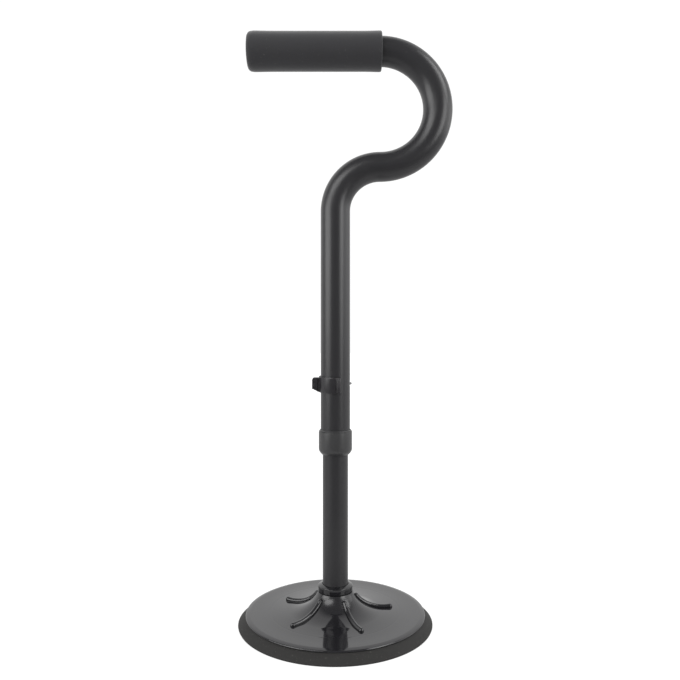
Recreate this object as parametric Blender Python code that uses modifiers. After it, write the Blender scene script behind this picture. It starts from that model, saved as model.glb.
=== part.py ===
"""Floor standing aid: a short offset handle on a telescoping shaft that stands on a wide round base.

Metres, +Z up. The origin is on the shaft's axis, on the floor. The handle lies along X: the grip
points to -X, the hook bulges to +X.
"""

import math

import bmesh
import bpy
from mathutils import Matrix, Vector

# Fits: the gap between any two pieces that touch on the real object
CLEARANCE = 0.0003

# Telescoping tubes
HANDLE_TUBE_DIAMETER = 0.0220
TUBE_WALL = 0.0012

# Bends of the handle tube, to the tube's centre line
GRIP_AXIS_HEIGHT = 0.4271
HOOK_RADIUS = 0.0433
SHAFT_BEND_RADIUS = 0.0335

# Foam grip and the plug in the tube's end
GRIP_LENGTH = 0.1005
GRIP_PAST_BEND = 0.0011
FOAM_WALL = 0.00305
FOAM_END_WALL = 0.0030
FOAM_ROUNDING = 0.0030
FOAM_MOUTH_ROUNDING = 0.0012
END_PLUG_FLANGE = 0.0018
END_PLUG_LENGTH = 0.0120
END_PLUG_WALL = 0.0016

# Bush at the handle tube's lower end
BUSH_HEIGHT = 0.1253
BUSH_LENGTH = 0.0187
BUSH_WALL = 0.0012
BUSH_NOSE = 0.0052
BUSH_LIP = 0.0010
BUSH_GROOVE = 0.0005
BUSH_SHOULDER = 0.0050
BUSH_EDGE = 0.00025

# Height setting: a peg through both tubes, in a row of holes down the lower tube
PEG_ABOVE_BUSH = 0.0530
PEG_DIAMETER = 0.0045
PEG_TIP_LENGTH = 0.0029
PEG_TIP_DIAMETER = 0.0006
PEG_PROUD = 0.0013
HOLE_PITCH = 0.0127
HOLES_ABOVE = 3
HOLES_BELOW = 3
TUBE_PAST_TOP_HOLE = 0.0190

# Locking clip that carries the peg
CLIP_WALL = 0.0011
CLIP_BELOW_PEG = 0.0066
CLIP_ABOVE_PEG = 0.0045
CLIP_RISE = 0.0012
CLIP_BEAD_RADIUS = 0.00125
CLIP_BEAD_REACH = 0.0027
LUG_REACH = 0.0050
LUG_WIDTH = 0.0078
LUG_ABOVE_PEG = 0.0044
LUG_BELOW_PEG = 0.0040
LUG_OUTER_WALL = 0.0013
LUG_HEEL = 0.0004
LUG_CORNER = 0.0014
LUG_RIB_PITCH = 0.0019
LUG_GROOVE_RADIUS = 0.0006

# Top end of the lower tube
GLIDE_CROWN = 0.0030
GLIDE_SHANK = 0.0100
GLIDE_WALL = 0.0018

# Rubber foot
FOOT_FLOOR = 0.0028
SKIRT_SPREAD = 0.0056
SKIRT_EDGE = 0.0009
TREAD_DEPTH = 0.0009
TREAD_WIDTH = 0.0016
TREAD_PITCH = 0.0100
TREAD_COUNT = 4

# Screw, washer and nut that hold the shaft in the base
SCREW_DIAMETER = 0.0060
SCREW_LENGTH = 0.0250
SCREW_HEAD_DIAMETER = 0.0110
SCREW_HEAD_HEIGHT = 0.0033
SCREW_KEY = 0.0040
SCREW_KEY_DEPTH = 0.0022
WASHER_DIAMETER = 0.0160
WASHER_THICKNESS = 0.0016
NUT_ACROSS_FLATS = 0.0100
NUT_HEIGHT = 0.0050
PLUG_ABOVE_NUT = 0.0020

# Base plate: a trumpet that flares from the shaft's socket into a flat disc
PLATE_RADIUS = 0.0667
PLATE_TOP = 0.0085
PLATE_WALL = 0.0026
RIM_THICKNESS = 0.0017
RIM_SPREAD = 0.0030
RIM_EDGE = 0.0005
RIM_OVERHANG = 0.0021
RIM_WALL = 0.0022
FLARE_RADIUS = 0.0380
FLARE_RISE = 0.0195
FLARE_NECK_WALL = 0.0023
SOCKET_TOP = 0.0230
SOCKET_WEB = 0.0030
SOCKET_WALL = 0.0022
SPIGOT_HEIGHT = 0.0034
SPIGOT_WALL = 0.0014

# Webs under the plate
WEB_THICKNESS = 0.0022
RING_WEB_RADIUS = 0.0480

# Rounded ribs that stand up from the flare
RIB_COUNT = 5
RIB_WIDTH = 0.0036
RIB_HEIGHT = 0.0022
RIB_START_RADIUS = 0.0136
RIB_END_RADIUS = 0.0436
RIB_FIRST_ANGLE = math.radians(8.0)

# Ring round the shaft's foot
RING_WALL = 0.00125
RING_HEIGHT = 0.0043
RING_CONE = 0.0011
RING_CHAMFER = 0.0004

# Fineness of the round shapes
TUBE_SIDES = 24
TURN_STEPS = 28
BASE_STEPS = 42
CAVITY_OFFSET = 1 / 3
WEB_OFFSET = 2 / 3
HOLE_SIDES = 12
RIB_SIDES = 10
GROOVE_SIDES = 8
ARC_STEPS = 5
BEND_STEPS = 8
FLARE_STEPS = 7
MERGE_DISTANCE = 0.00001
SHARP_ANGLE = math.radians(35.0)
OVERCUT = 0.0020

# Sizes that follow from those above
HANDLE_TUBE_RADIUS = HANDLE_TUBE_DIAMETER / 2
HANDLE_BORE = HANDLE_TUBE_RADIUS - TUBE_WALL
LOWER_TUBE_RADIUS = HANDLE_BORE - CLEARANCE
LOWER_BORE = LOWER_TUBE_RADIUS - TUBE_WALL
OVER_HANDLE_TUBE = HANDLE_TUBE_RADIUS + CLEARANCE
OVER_LOWER_TUBE = LOWER_TUBE_RADIUS + CLEARANCE
SHAFT_STRAIGHT_TOP = GRIP_AXIS_HEIGHT - 2 * HOOK_RADIUS - SHAFT_BEND_RADIUS
GRIP_MOUTH = SHAFT_BEND_RADIUS + GRIP_PAST_BEND
GRIP_RADIUS = OVER_HANDLE_TUBE + FOAM_WALL
HANDLE_TUBE_END = GRIP_MOUTH - GRIP_LENGTH + FOAM_END_WALL + 2 * CLEARANCE + END_PLUG_FLANGE
HANDLE_TUBE_FOOT = BUSH_HEIGHT + BUSH_NOSE + CLEARANCE
PEG_HEIGHT = BUSH_HEIGHT + PEG_ABOVE_BUSH
PEG_RADIUS = PEG_DIAMETER / 2
PEG_HOLE = PEG_RADIUS + CLEARANCE
CLIP_RADIUS = OVER_HANDLE_TUBE + CLIP_WALL
LOWER_TUBE_TOP = PEG_HEIGHT + HOLES_ABOVE * HOLE_PITCH + TUBE_PAST_TOP_HOLE
SCREW_HEAD_BASE = FOOT_FLOOR + 2 * CLEARANCE
WASHER_BASE = SCREW_HEAD_BASE + SCREW_HEAD_HEIGHT + CLEARANCE
WEB_BASE = WASHER_BASE + WASHER_THICKNESS + CLEARANCE
SOCKET_FLOOR = WEB_BASE + SOCKET_WEB
LOWER_TUBE_FOOT = SOCKET_FLOOR + CLEARANCE
SCREW_HOLE = SCREW_DIAMETER / 2 + CLEARANCE
SCREW_TIP = SCREW_HEAD_BASE + SCREW_HEAD_HEIGHT + SCREW_LENGTH
NUT_TOP = SCREW_TIP - CLEARANCE
NUT_BASE = NUT_TOP - NUT_HEIGHT
PLATE_FOOT = FOOT_FLOOR + CLEARANCE
SPIGOT_RADIUS = OVER_LOWER_TUBE + SPIGOT_WALL
RING_RADIUS = SPIGOT_RADIUS + CLEARANCE + RING_WALL
RING_BASE = SOCKET_TOP + CLEARANCE

parts = None
cutters = None


def clear_scene():
    for obj in list(bpy.data.objects):
        bpy.data.objects.remove(obj, do_unlink=True)


def new_collection(name):
    collection = bpy.data.collections.new(name)
    bpy.context.scene.collection.children.link(collection)
    return collection


def new_empty(name, location, parent=None):
    """An empty on a joint's axis, which carries the pieces that move along it."""
    empty = bpy.data.objects.new(name, None)
    empty.empty_display_size = HANDLE_TUBE_DIAMETER
    parts.objects.link(empty)
    if parent:
        empty.parent = parent
        empty.location = Vector(location) - parent.location
    else:
        empty.location = location
    return empty


def new_material(name, colour, roughness, metallic=0.0):
    material = bpy.data.materials.new(name)
    material.use_nodes = True
    shader = material.node_tree.nodes["Principled BSDF"]
    shader.inputs["Base Color"].default_value = (*colour, 1.0)
    shader.inputs["Roughness"].default_value = roughness
    shader.inputs["Metallic"].default_value = metallic
    material.diffuse_color = (*colour, 1.0)
    return material


def arc(centre, radius, start, end, steps=ARC_STEPS):
    """Points on a circle's arc, from one angle in degrees to another."""
    points = []
    for step in range(steps + 1):
        angle = math.radians(start + (end - start) * step / steps)
        points.append((centre[0] + radius * math.cos(angle), centre[1] + radius * math.sin(angle)))
    return points


def turned(name, profile, steps=TURN_STEPS, on_axis=False, offset=0.0):
    """A profile of (radius, height) points turned about Z. It runs down the outer side first.

    A ring's profile is closed. A solid's profile starts and ends on the axis. The offset, a share
    of one step, keeps the corners of a cutter clear of the corners of what it cuts.
    """
    start = offset * math.tau / steps
    count = len(profile)
    edges = [(index, index + 1) for index in range(count - 1)]
    if not on_axis:
        edges.append((count - 1, 0))
    mesh = bpy.data.meshes.new(name)
    corners = [(radius * math.cos(start), radius * math.sin(start), height) for radius, height in profile]
    mesh.from_pydata(corners, edges, [])
    obj = bpy.data.objects.new(name, mesh)
    screw = obj.modifiers.new("Turn", "SCREW")
    screw.axis = "Z"
    screw.steps = steps
    screw.render_steps = steps
    screw.use_merge_vertices = on_axis
    screw.merge_threshold = MERGE_DISTANCE
    return obj


def swept(name, points, radius, sides, capped, scales=None):
    """A mesh of a round bar along a run of points, each with its own share of the radius."""
    curve = bpy.data.curves.new(name, "CURVE")
    curve.dimensions = "3D"
    curve.bevel_depth = radius
    curve.bevel_resolution = (sides - 4) // 2
    curve.use_fill_caps = capped
    spline = curve.splines.new("POLY")
    spline.points.add(len(points) - 1)
    for index, point in enumerate(points):
        spline.points[index].co = (*point, 1.0)
        if scales:
            spline.points[index].radius = scales[index]
    return curve_to_mesh(name, curve)


def extruded(name, outline, thickness):
    """A mesh of a flat outline in XY, with its thickness centred on Z = 0."""
    curve = bpy.data.curves.new(name, "CURVE")
    curve.dimensions = "2D"
    curve.fill_mode = "BOTH"
    curve.extrude = thickness / 2
    spline = curve.splines.new("POLY")
    spline.points.add(len(outline) - 1)
    for index, (x, y) in enumerate(outline):
        spline.points[index].co = (x, y, 0.0, 1.0)
    spline.use_cyclic_u = True
    return curve_to_mesh(name, curve)


def curve_to_mesh(name, curve):
    """A mesh object of a curve's surface, with its caps welded on and its faces outwards."""
    guide = bpy.data.objects.new(name + "_guide", curve)
    bpy.context.scene.collection.objects.link(guide)
    graph = bpy.context.evaluated_depsgraph_get()
    mesh = bpy.data.meshes.new_from_object(guide.evaluated_get(graph))
    bpy.data.objects.remove(guide)
    bpy.data.curves.remove(curve)
    mesh.name = name
    shape = bmesh.new()
    shape.from_mesh(mesh)
    bmesh.ops.remove_doubles(shape, verts=shape.verts, dist=MERGE_DISTANCE)
    bmesh.ops.recalc_face_normals(shape, faces=shape.faces)
    shape.to_mesh(mesh)
    shape.free()
    mesh.materials.clear()
    return bpy.data.objects.new(name, mesh)


def rod(name, radius, start, end, sides):
    """A straight bar with flat ends between two points. Six sides make a hexagonal one."""
    start = Vector(start)
    along = Vector(end) - start
    turn = Vector((0, 0, 1)).rotation_difference(along).to_matrix().to_4x4()
    shape = bmesh.new()
    bmesh.ops.create_cone(
        shape,
        cap_ends=True,
        segments=sides,
        radius1=radius,
        radius2=radius,
        depth=along.length,
        matrix=Matrix.Translation(start + along / 2) @ turn,
    )
    mesh = bpy.data.meshes.new(name)
    shape.to_mesh(mesh)
    shape.free()
    return bpy.data.objects.new(name, mesh)


def block(name, size, centre, angle=0.0):
    """A box of a given size, moved to its centre and then turned about Z."""
    shape = bmesh.new()
    place = Matrix.Rotation(angle, 4, "Z") @ Matrix.Translation(centre) @ Matrix.Diagonal((*size, 1.0))
    bmesh.ops.create_cube(shape, size=1.0, matrix=place)
    mesh = bpy.data.meshes.new(name)
    shape.to_mesh(mesh)
    shape.free()
    return bpy.data.objects.new(name, mesh)


def as_cutter(obj):
    cutters.objects.link(obj)
    obj.hide_render = True
    obj.display_type = "WIRE"
    return obj


def combine(obj, tool, operation):
    """Adds a Boolean with another solid, which is kept as a hidden helper."""
    if tool.name not in cutters.objects:
        as_cutter(tool)
    boolean = obj.modifiers.new(operation.title() + " " + tool.name, "BOOLEAN")
    boolean.operation = operation
    boolean.object = tool


def as_part(obj, material, parent=None):
    """Puts a piece in the object's collection, with the shape that its modifiers make."""
    parts.objects.link(obj)
    graph = bpy.context.evaluated_depsgraph_get()
    mesh = bpy.data.meshes.new_from_object(obj.evaluated_get(graph))
    obj.modifiers.clear()
    obj.data = mesh
    mesh.name = obj.name
    mesh.shade_smooth()
    mesh.set_sharp_from_angle(angle=SHARP_ANGLE)
    mesh.materials.clear()
    mesh.materials.append(material)
    if parent:
        keep_place_under(obj, parent)
    return obj


def keep_place_under(obj, parent):
    """Parents a piece with its origin moved onto the parent empty, and its shape left where it is."""
    bpy.context.view_layer.update()
    base = parent.matrix_world.copy()
    obj.data.transform(base.inverted() @ obj.matrix_world)
    obj.matrix_basis = Matrix.Identity(4)
    obj.parent = parent


def hexagon_radius(across_flats):
    return across_flats / (2 * math.cos(math.radians(30)))


def flare_point(turn, below=0.0):
    """A point (radius, height) on the flare, a quarter of an ellipse. below sinks it into the wall.

    turn is 0 where the flare would stand upright at the socket, and 90 degrees on the flat disc.
    """
    across = FLARE_RADIUS - OVER_LOWER_TUBE - FLARE_NECK_WALL
    normal = Vector((math.cos(turn) / across, math.sin(turn) / FLARE_RISE)).normalized()
    radius = FLARE_RADIUS - across * math.cos(turn)
    height = PLATE_TOP + FLARE_RISE * (1 - math.sin(turn))
    return radius - normal.x * below, height - normal.y * below


def flare_turn_at_height(height):
    return math.asin(1 - (height - PLATE_TOP) / FLARE_RISE)


def flare_turn_at_radius(radius):
    across = FLARE_RADIUS - OVER_LOWER_TUBE - FLARE_NECK_WALL
    return math.acos((FLARE_RADIUS - radius) / across)


def flare_points(start, end, below=0.0, steps=FLARE_STEPS):
    return [flare_point(start + (end - start) * step / steps, below) for step in range(steps + 1)]


def handle_path():
    """The handle tube's centre line: down the shaft's axis, round both bends and along the grip."""
    bend = arc((SHAFT_BEND_RADIUS, SHAFT_STRAIGHT_TOP), SHAFT_BEND_RADIUS, 180, 90, BEND_STEPS)
    hook_centre = (SHAFT_BEND_RADIUS, GRIP_AXIS_HEIGHT - HOOK_RADIUS)
    hook = arc(hook_centre, HOOK_RADIUS, -90, 90, 2 * BEND_STEPS)
    points = [(0.0, HANDLE_TUBE_FOOT), *bend, *hook[1:], (HANDLE_TUBE_END, GRIP_AXIS_HEIGHT)]
    return [(x, 0.0, z) for x, z in points]


def make_handle_tube(material, parent):
    tube = swept("handle_tube", handle_path(), HANDLE_TUBE_RADIUS, TUBE_SIDES, capped=False)
    wall = tube.modifiers.new("Wall", "SOLIDIFY")
    wall.thickness = TUBE_WALL
    wall.offset = -1.0
    reach = HANDLE_TUBE_RADIUS + OVERCUT
    hole = rod("handle_peg_hole", PEG_HOLE, (-reach, 0, PEG_HEIGHT), (reach, 0, PEG_HEIGHT), HOLE_SIDES)
    combine(tube, hole, "DIFFERENCE")
    return as_part(tube, material, parent)


def lay_along_grip(obj, from_end):
    """Lays a piece turned about Z on the grip's axis, its foot at from_end and its top towards +X."""
    obj.data.transform(
        Matrix.Translation((from_end, 0, GRIP_AXIS_HEIGHT)) @ Matrix.Rotation(math.pi / 2, 4, "Y")
    )


def make_handle_end_plug(material, parent):
    """A flanged cup pushed into the tube's open end."""
    body = HANDLE_BORE - CLEARANCE
    length = END_PLUG_FLANGE + CLEARANCE + END_PLUG_LENGTH
    inside = body - END_PLUG_WALL
    profile = [
        (inside, length),
        (body, length),
        (body, END_PLUG_FLANGE),
        (HANDLE_TUBE_RADIUS, END_PLUG_FLANGE),
        (HANDLE_TUBE_RADIUS, 0.0),
        (0.0, 0.0),
    ]
    profile = [(0.0, END_PLUG_FLANGE), (inside, END_PLUG_FLANGE), *profile]
    plug = as_part(turned("handle_end_plug", profile, on_axis=True), material)
    lay_along_grip(plug, HANDLE_TUBE_END - CLEARANCE - END_PLUG_FLANGE)
    keep_place_under(plug, parent)
    return plug


def make_hand_grip(material, parent):
    """A foam sleeve with one closed, rounded end."""
    crown = (GRIP_RADIUS - FOAM_ROUNDING, FOAM_ROUNDING)
    mouth = (GRIP_RADIUS - FOAM_MOUTH_ROUNDING, GRIP_LENGTH - FOAM_MOUTH_ROUNDING)
    profile = [
        (0.0, FOAM_END_WALL),
        (OVER_HANDLE_TUBE, FOAM_END_WALL),
        (OVER_HANDLE_TUBE, GRIP_LENGTH),
        *arc(mouth, FOAM_MOUTH_ROUNDING, 90, 0, 3),
        *arc(crown, FOAM_ROUNDING, 0, -90),
        (0.0, 0.0),
    ]
    grip = as_part(turned("hand_grip", profile, on_axis=True), material)
    lay_along_grip(grip, GRIP_MOUTH - GRIP_LENGTH)
    keep_place_under(grip, parent)
    return grip


def make_end_bush(material, parent):
    """The collar that closes the handle tube's end and guides the lower tube in its nose.

    The nose is rounded at the shoulder and then slopes in at 45 degrees to a thin edge at the tube.
    """
    outside = OVER_HANDLE_TUBE + BUSH_WALL
    top = BUSH_HEIGHT + BUSH_LENGTH
    seat = BUSH_HEIGHT + BUSH_NOSE
    groove_top = top - BUSH_LIP
    edge = OVER_LOWER_TUBE + BUSH_EDGE
    shoulder_height = BUSH_HEIGHT + outside - edge + BUSH_SHOULDER * (math.sqrt(2) - 1)
    shoulder = arc((outside - BUSH_SHOULDER, shoulder_height), BUSH_SHOULDER, 0, -45)
    profile = [
        (OVER_HANDLE_TUBE, top),
        (outside - BUSH_GROOVE / 2, groove_top),
        (outside - BUSH_GROOVE, groove_top - BUSH_GROOVE / 2),
        (outside, groove_top - BUSH_GROOVE),
        *shoulder,
        (edge, BUSH_HEIGHT),
        (OVER_LOWER_TUBE, BUSH_HEIGHT),
        (OVER_LOWER_TUBE, seat),
        (OVER_HANDLE_TUBE, seat),
    ]
    return as_part(turned("end_bush", profile), material, parent)


def clip_outline():
    """The clip from above: a band round the tube's left half, then straight arms that end in a bead."""
    near = []
    bead = (CLIP_BEAD_REACH, -OVER_HANDLE_TUBE - CLIP_BEAD_RADIUS)
    lift = math.degrees(math.asin((CLIP_BEAD_RADIUS - CLIP_WALL) / CLIP_BEAD_RADIUS))
    near += arc(bead, CLIP_BEAD_RADIUS, 90, -180 - lift, 3 * ARC_STEPS)
    band = arc((0.0, 0.0), CLIP_RADIUS, -90, -180, 2 * ARC_STEPS)
    far = [(x, -y) for x, y in reversed(near + band[:-1])]
    inside = arc((0.0, 0.0), OVER_HANDLE_TUBE, 90, 270, 4 * ARC_STEPS)
    return near + band + far + inside


def lug_outline():
    """The lug from the front: x outwards from the shaft's axis, y up from the peg."""
    root = OVER_HANDLE_TUBE - OVERCUT
    outer = CLIP_RADIUS + LUG_REACH
    return [
        (-root, LUG_ABOVE_PEG),
        (-outer + LUG_CORNER, LUG_ABOVE_PEG),
        (-outer, LUG_ABOVE_PEG - LUG_CORNER),
        (-outer, -LUG_BELOW_PEG),
        (-CLIP_RADIUS, -CLIP_BELOW_PEG + LUG_HEEL),
        (-root, -CLIP_BELOW_PEG + LUG_HEEL),
    ]


def make_locking_clip(material, parent):
    height = CLIP_BELOW_PEG + CLIP_ABOVE_PEG
    clip = extruded("locking_clip", clip_outline(), height)
    middle = PEG_HEIGHT + (CLIP_ABOVE_PEG - CLIP_BELOW_PEG) / 2
    clip.data.transform(Matrix.Translation((0, 0, middle)))
    for vertex in clip.data.vertices:
        if vertex.co.z > middle:
            vertex.co.z += CLIP_RISE * max(0.0, -vertex.co.x / CLIP_RADIUS)
    lug = extruded("clip_lug", lug_outline(), LUG_WIDTH)
    stand_up = Matrix.Rotation(math.pi / 2, 4, "X")
    lug.data.transform(Matrix.Translation((0, 0, PEG_HEIGHT)) @ stand_up)
    top = PEG_HEIGHT + LUG_ABOVE_PEG + OVERCUT
    foot = PEG_HEIGHT - CLIP_BELOW_PEG - OVERCUT
    root = rod("clip_lug_root", OVER_HANDLE_TUBE + CLIP_WALL / 2, (0, 0, foot), (0, 0, top), TUBE_SIDES)
    combine(lug, root, "DIFFERENCE")
    combine(clip, lug, "UNION")
    for row in (1, 2):
        x = -(CLIP_RADIUS + LUG_REACH - row * LUG_RIB_PITCH + LUG_GROOVE_RADIUS)
        for side in (-1, 1):
            y = side * (LUG_WIDTH / 2 + LUG_GROOVE_RADIUS / 4)
            name = "clip_groove_%d_%s" % (row, "front" if side < 0 else "back")
            groove = rod(name, LUG_GROOVE_RADIUS, (x, y, foot), (x, y, top), GROOVE_SIDES)
            combine(clip, groove, "DIFFERENCE")
    bore_end = -(CLIP_RADIUS + LUG_REACH - LUG_OUTER_WALL)
    bore = rod("clip_peg_bore", PEG_HOLE, (bore_end, 0, PEG_HEIGHT), (0, 0, PEG_HEIGHT), HOLE_SIDES)
    combine(clip, bore, "DIFFERENCE")
    return as_part(clip, material, parent)


def make_clip_peg(material, parent):
    """The steel peg set in the lug. Its cone shows on the far side of the shaft."""
    start = -(CLIP_RADIUS + LUG_REACH - LUG_OUTER_WALL) + CLEARANCE
    end = HANDLE_TUBE_RADIUS + PEG_PROUD
    profile = [
        (0.0, end),
        (PEG_TIP_DIAMETER / 2, end),
        (PEG_RADIUS, end - PEG_TIP_LENGTH),
        (PEG_RADIUS, start),
        (0.0, start),
    ]
    peg = as_part(turned("clip_peg", profile, HOLE_SIDES, on_axis=True), material)
    peg.data.transform(Matrix.Translation((0, 0, PEG_HEIGHT)) @ Matrix.Rotation(math.pi / 2, 4, "Y"))
    keep_place_under(peg, parent)
    return peg


def make_lower_tube(material):
    """The telescoping inner tube, with a pair of holes for each height."""
    ends = [(0, 0, LOWER_TUBE_FOOT), (0, 0, LOWER_TUBE_TOP)]
    tube = swept("lower_tube", ends, LOWER_TUBE_RADIUS, TUBE_SIDES, capped=False)
    wall = tube.modifiers.new("Wall", "SOLIDIFY")
    wall.thickness = TUBE_WALL
    wall.offset = -1.0
    reach = LOWER_TUBE_RADIUS + OVERCUT
    for step in range(-HOLES_BELOW, HOLES_ABOVE + 1):
        height = PEG_HEIGHT + step * HOLE_PITCH
        name = "height_hole_%d" % (step + HOLES_BELOW + 1)
        hole = rod(name, PEG_HOLE, (-reach, 0, height), (reach, 0, height), HOLE_SIDES)
        combine(tube, hole, "DIFFERENCE")
    return as_part(tube, material)


def make_tube_glide(material):
    """The plastic cap on the lower tube's top, which runs in the handle tube."""
    shank = LOWER_BORE - CLEARANCE
    inside = shank - GLIDE_WALL
    seat = LOWER_TUBE_TOP + CLEARANCE
    crown = seat + GLIDE_CROWN
    foot = LOWER_TUBE_TOP - GLIDE_SHANK
    edge = GLIDE_CROWN / 3
    profile = [
        (0.0, crown),
        (LOWER_TUBE_RADIUS - edge, crown),
        (LOWER_TUBE_RADIUS, crown - edge),
        (LOWER_TUBE_RADIUS, seat),
        (shank, seat),
        (shank, foot),
        (inside, foot),
        (inside, seat),
        (0.0, seat),
    ]
    return as_part(turned("tube_glide", profile, on_axis=True), material)


def make_foot_plug(material):
    """The plug in the lower tube's foot, with a six-sided pocket for the nut."""
    outside = LOWER_BORE - CLEARANCE
    top = NUT_TOP + PLUG_ABOVE_NUT
    profile = [
        (outside, top),
        (outside, LOWER_TUBE_FOOT),
        (SCREW_HOLE, LOWER_TUBE_FOOT),
        (SCREW_HOLE, top),
    ]
    plug = turned("foot_plug", profile)
    pocket_radius = hexagon_radius(NUT_ACROSS_FLATS + 2 * CLEARANCE)
    pocket_floor = (0, 0, NUT_BASE - CLEARANCE)
    pocket = rod("nut_pocket", pocket_radius, pocket_floor, (0, 0, top + OVERCUT), 6)
    combine(plug, pocket, "DIFFERENCE")
    return as_part(plug, material)


def make_foot_nut(material):
    nut = rod("foot_nut", hexagon_radius(NUT_ACROSS_FLATS), (0, 0, NUT_BASE), (0, 0, NUT_TOP), 6)
    below = (0, 0, NUT_BASE - OVERCUT)
    bore = rod("nut_bore", SCREW_HOLE, below, (0, 0, NUT_TOP + OVERCUT), HOLE_SIDES)
    combine(nut, bore, "DIFFERENCE")
    return as_part(nut, material)


def make_base_screw(material):
    """The screw that comes up through the base into the nut, with a six-sided key hole."""
    shank = SCREW_DIAMETER / 2
    head = SCREW_HEAD_DIAMETER / 2
    shoulder = SCREW_HEAD_BASE + SCREW_HEAD_HEIGHT
    edge = SCREW_HEAD_HEIGHT / 3
    profile = [
        (0.0, SCREW_TIP),
        (shank - edge / 2, SCREW_TIP),
        (shank, SCREW_TIP - edge / 2),
        (shank, shoulder),
        (head, shoulder),
        (head, SCREW_HEAD_BASE + edge),
        (head - edge, SCREW_HEAD_BASE),
        (0.0, SCREW_HEAD_BASE),
    ]
    screw = turned("base_screw", profile, on_axis=True)
    key_end = (0, 0, SCREW_HEAD_BASE + SCREW_KEY_DEPTH)
    key = rod("screw_key", hexagon_radius(SCREW_KEY), (0, 0, SCREW_HEAD_BASE - OVERCUT), key_end, 6)
    combine(screw, key, "DIFFERENCE")
    return as_part(screw, material)


def make_base_washer(material):
    top = WASHER_BASE + WASHER_THICKNESS
    outside = WASHER_DIAMETER / 2
    profile = [(outside, top), (outside, WASHER_BASE), (SCREW_HOLE, WASHER_BASE), (SCREW_HOLE, top)]
    return as_part(turned("base_washer", profile), material)


def make_neck_ring(material):
    """The ring that caps the socket's spigot and grips it on the shaft."""
    wall_top = RING_BASE + RING_HEIGHT
    seat = SOCKET_TOP + SPIGOT_HEIGHT + CLEARANCE
    inside = SPIGOT_RADIUS + CLEARANCE
    profile = [
        (OVER_LOWER_TUBE, wall_top + RING_CONE),
        (RING_RADIUS - RING_CHAMFER, wall_top),
        (RING_RADIUS, wall_top - RING_CHAMFER),
        (RING_RADIUS, RING_BASE + RING_CHAMFER),
        (RING_RADIUS - RING_CHAMFER, RING_BASE),
        (inside, RING_BASE),
        (inside, seat),
        (OVER_LOWER_TUBE, seat),
    ]
    return as_part(turned("neck_ring", profile), material)


def rib_path(angle):
    """Centre points of one rib and the share of its radius at each, with ball-shaped ends."""
    radius = RIB_WIDTH / 2
    start = flare_turn_at_radius(RIB_START_RADIUS + radius)
    end = flare_turn_at_radius(RIB_END_RADIUS - radius)
    line = [Vector(point) for point in flare_points(start, end, radius - RIB_HEIGHT)]
    first = (line[0] - line[1]).normalized()
    last = (line[-1] - line[-2]).normalized()
    ball = [(math.cos(math.radians(a)), math.sin(math.radians(a))) for a in (30, 60, 85)]
    points = [line[0] + first * radius * out for _, out in reversed(ball)]
    points += line
    points += [line[-1] + last * radius * out for _, out in ball]
    scales = [share for share, _ in reversed(ball)]
    scales += [1.0] * len(line)
    scales += [share for share, _ in ball]
    places = [(p.x * math.cos(angle), p.x * math.sin(angle), p.y) for p in points]
    return places, scales


def rim_points():
    """The rim's shoulder, a quarter of an ellipse, and the chamfered edge below it."""
    drop = RIM_THICKNESS - RIM_EDGE
    quarter = arc((0.0, 0.0), 1.0, 90, 0, 3)
    shoulder = [(PLATE_RADIUS - RIM_SPREAD * (1 - x), PLATE_TOP - drop * (1 - y)) for x, y in quarter]
    return [*shoulder, (PLATE_RADIUS - RIM_EDGE, PLATE_TOP - RIM_THICKNESS)]


def plate_profile():
    """The base as a solid of turning: the flare, the disc and its rounded rim, the rim wall below."""
    rim_wall_radius = PLATE_RADIUS - RIM_OVERHANG
    return [
        (OVER_LOWER_TUBE, SOCKET_TOP + SPIGOT_HEIGHT),
        (SPIGOT_RADIUS, SOCKET_TOP + SPIGOT_HEIGHT),
        (SPIGOT_RADIUS, SOCKET_TOP),
        *flare_points(flare_turn_at_height(SOCKET_TOP), math.pi / 2),
        *rim_points(),
        (rim_wall_radius, PLATE_TOP - RIM_THICKNESS),
        (rim_wall_radius, PLATE_FOOT),
        (WASHER_DIAMETER / 2 + CLEARANCE, PLATE_FOOT),
        (WASHER_DIAMETER / 2 + CLEARANCE, WEB_BASE),
        (SCREW_HOLE, WEB_BASE),
        (SCREW_HOLE, SOCKET_FLOOR),
        (OVER_LOWER_TUBE, SOCKET_FLOOR),
    ]


def make_cavity():
    """The hollow under the plate, between the socket and the rim wall, open below.

    The webs stay out of it: one round web, and straight ones from the socket to the rim.
    """
    socket = OVER_LOWER_TUBE + SOCKET_WALL
    rim = PLATE_RADIUS - RIM_OVERHANG - RIM_WALL
    start = flare_turn_at_height(SOCKET_TOP)
    ceiling = [p for p in flare_points(start, math.pi / 2, PLATE_WALL, ARC_STEPS) if p[0] > socket]
    profile = [
        (socket, ceiling[0][1]),
        *ceiling,
        (rim, PLATE_TOP - PLATE_WALL),
        (rim, PLATE_FOOT - OVERCUT),
        (socket, PLATE_FOOT - OVERCUT),
    ]
    cavity = as_cutter(turned("plate_cavity", profile, BASE_STEPS, offset=CAVITY_OFFSET))
    low = PLATE_FOOT - 2 * OVERCUT
    high = PLATE_TOP + OVERCUT
    inside = RING_WEB_RADIUS - WEB_THICKNESS / 2
    outside = RING_WEB_RADIUS + WEB_THICKNESS / 2
    web_profile = [(outside, high), (outside, low), (inside, low), (inside, high)]
    round_web = turned("round_web", web_profile, BASE_STEPS, offset=WEB_OFFSET)
    combine(cavity, round_web, "DIFFERENCE")
    for index in range(RIB_COUNT):
        angle = RIB_FIRST_ANGLE + math.pi * (index + 0.5) / RIB_COUNT
        size = (2 * PLATE_RADIUS, WEB_THICKNESS, 2 * SOCKET_TOP)
        web = block("straight_web_%d" % (index + 1), size, (0, 0, SOCKET_TOP), angle)
        combine(cavity, web, "DIFFERENCE")
    return cavity


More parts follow.
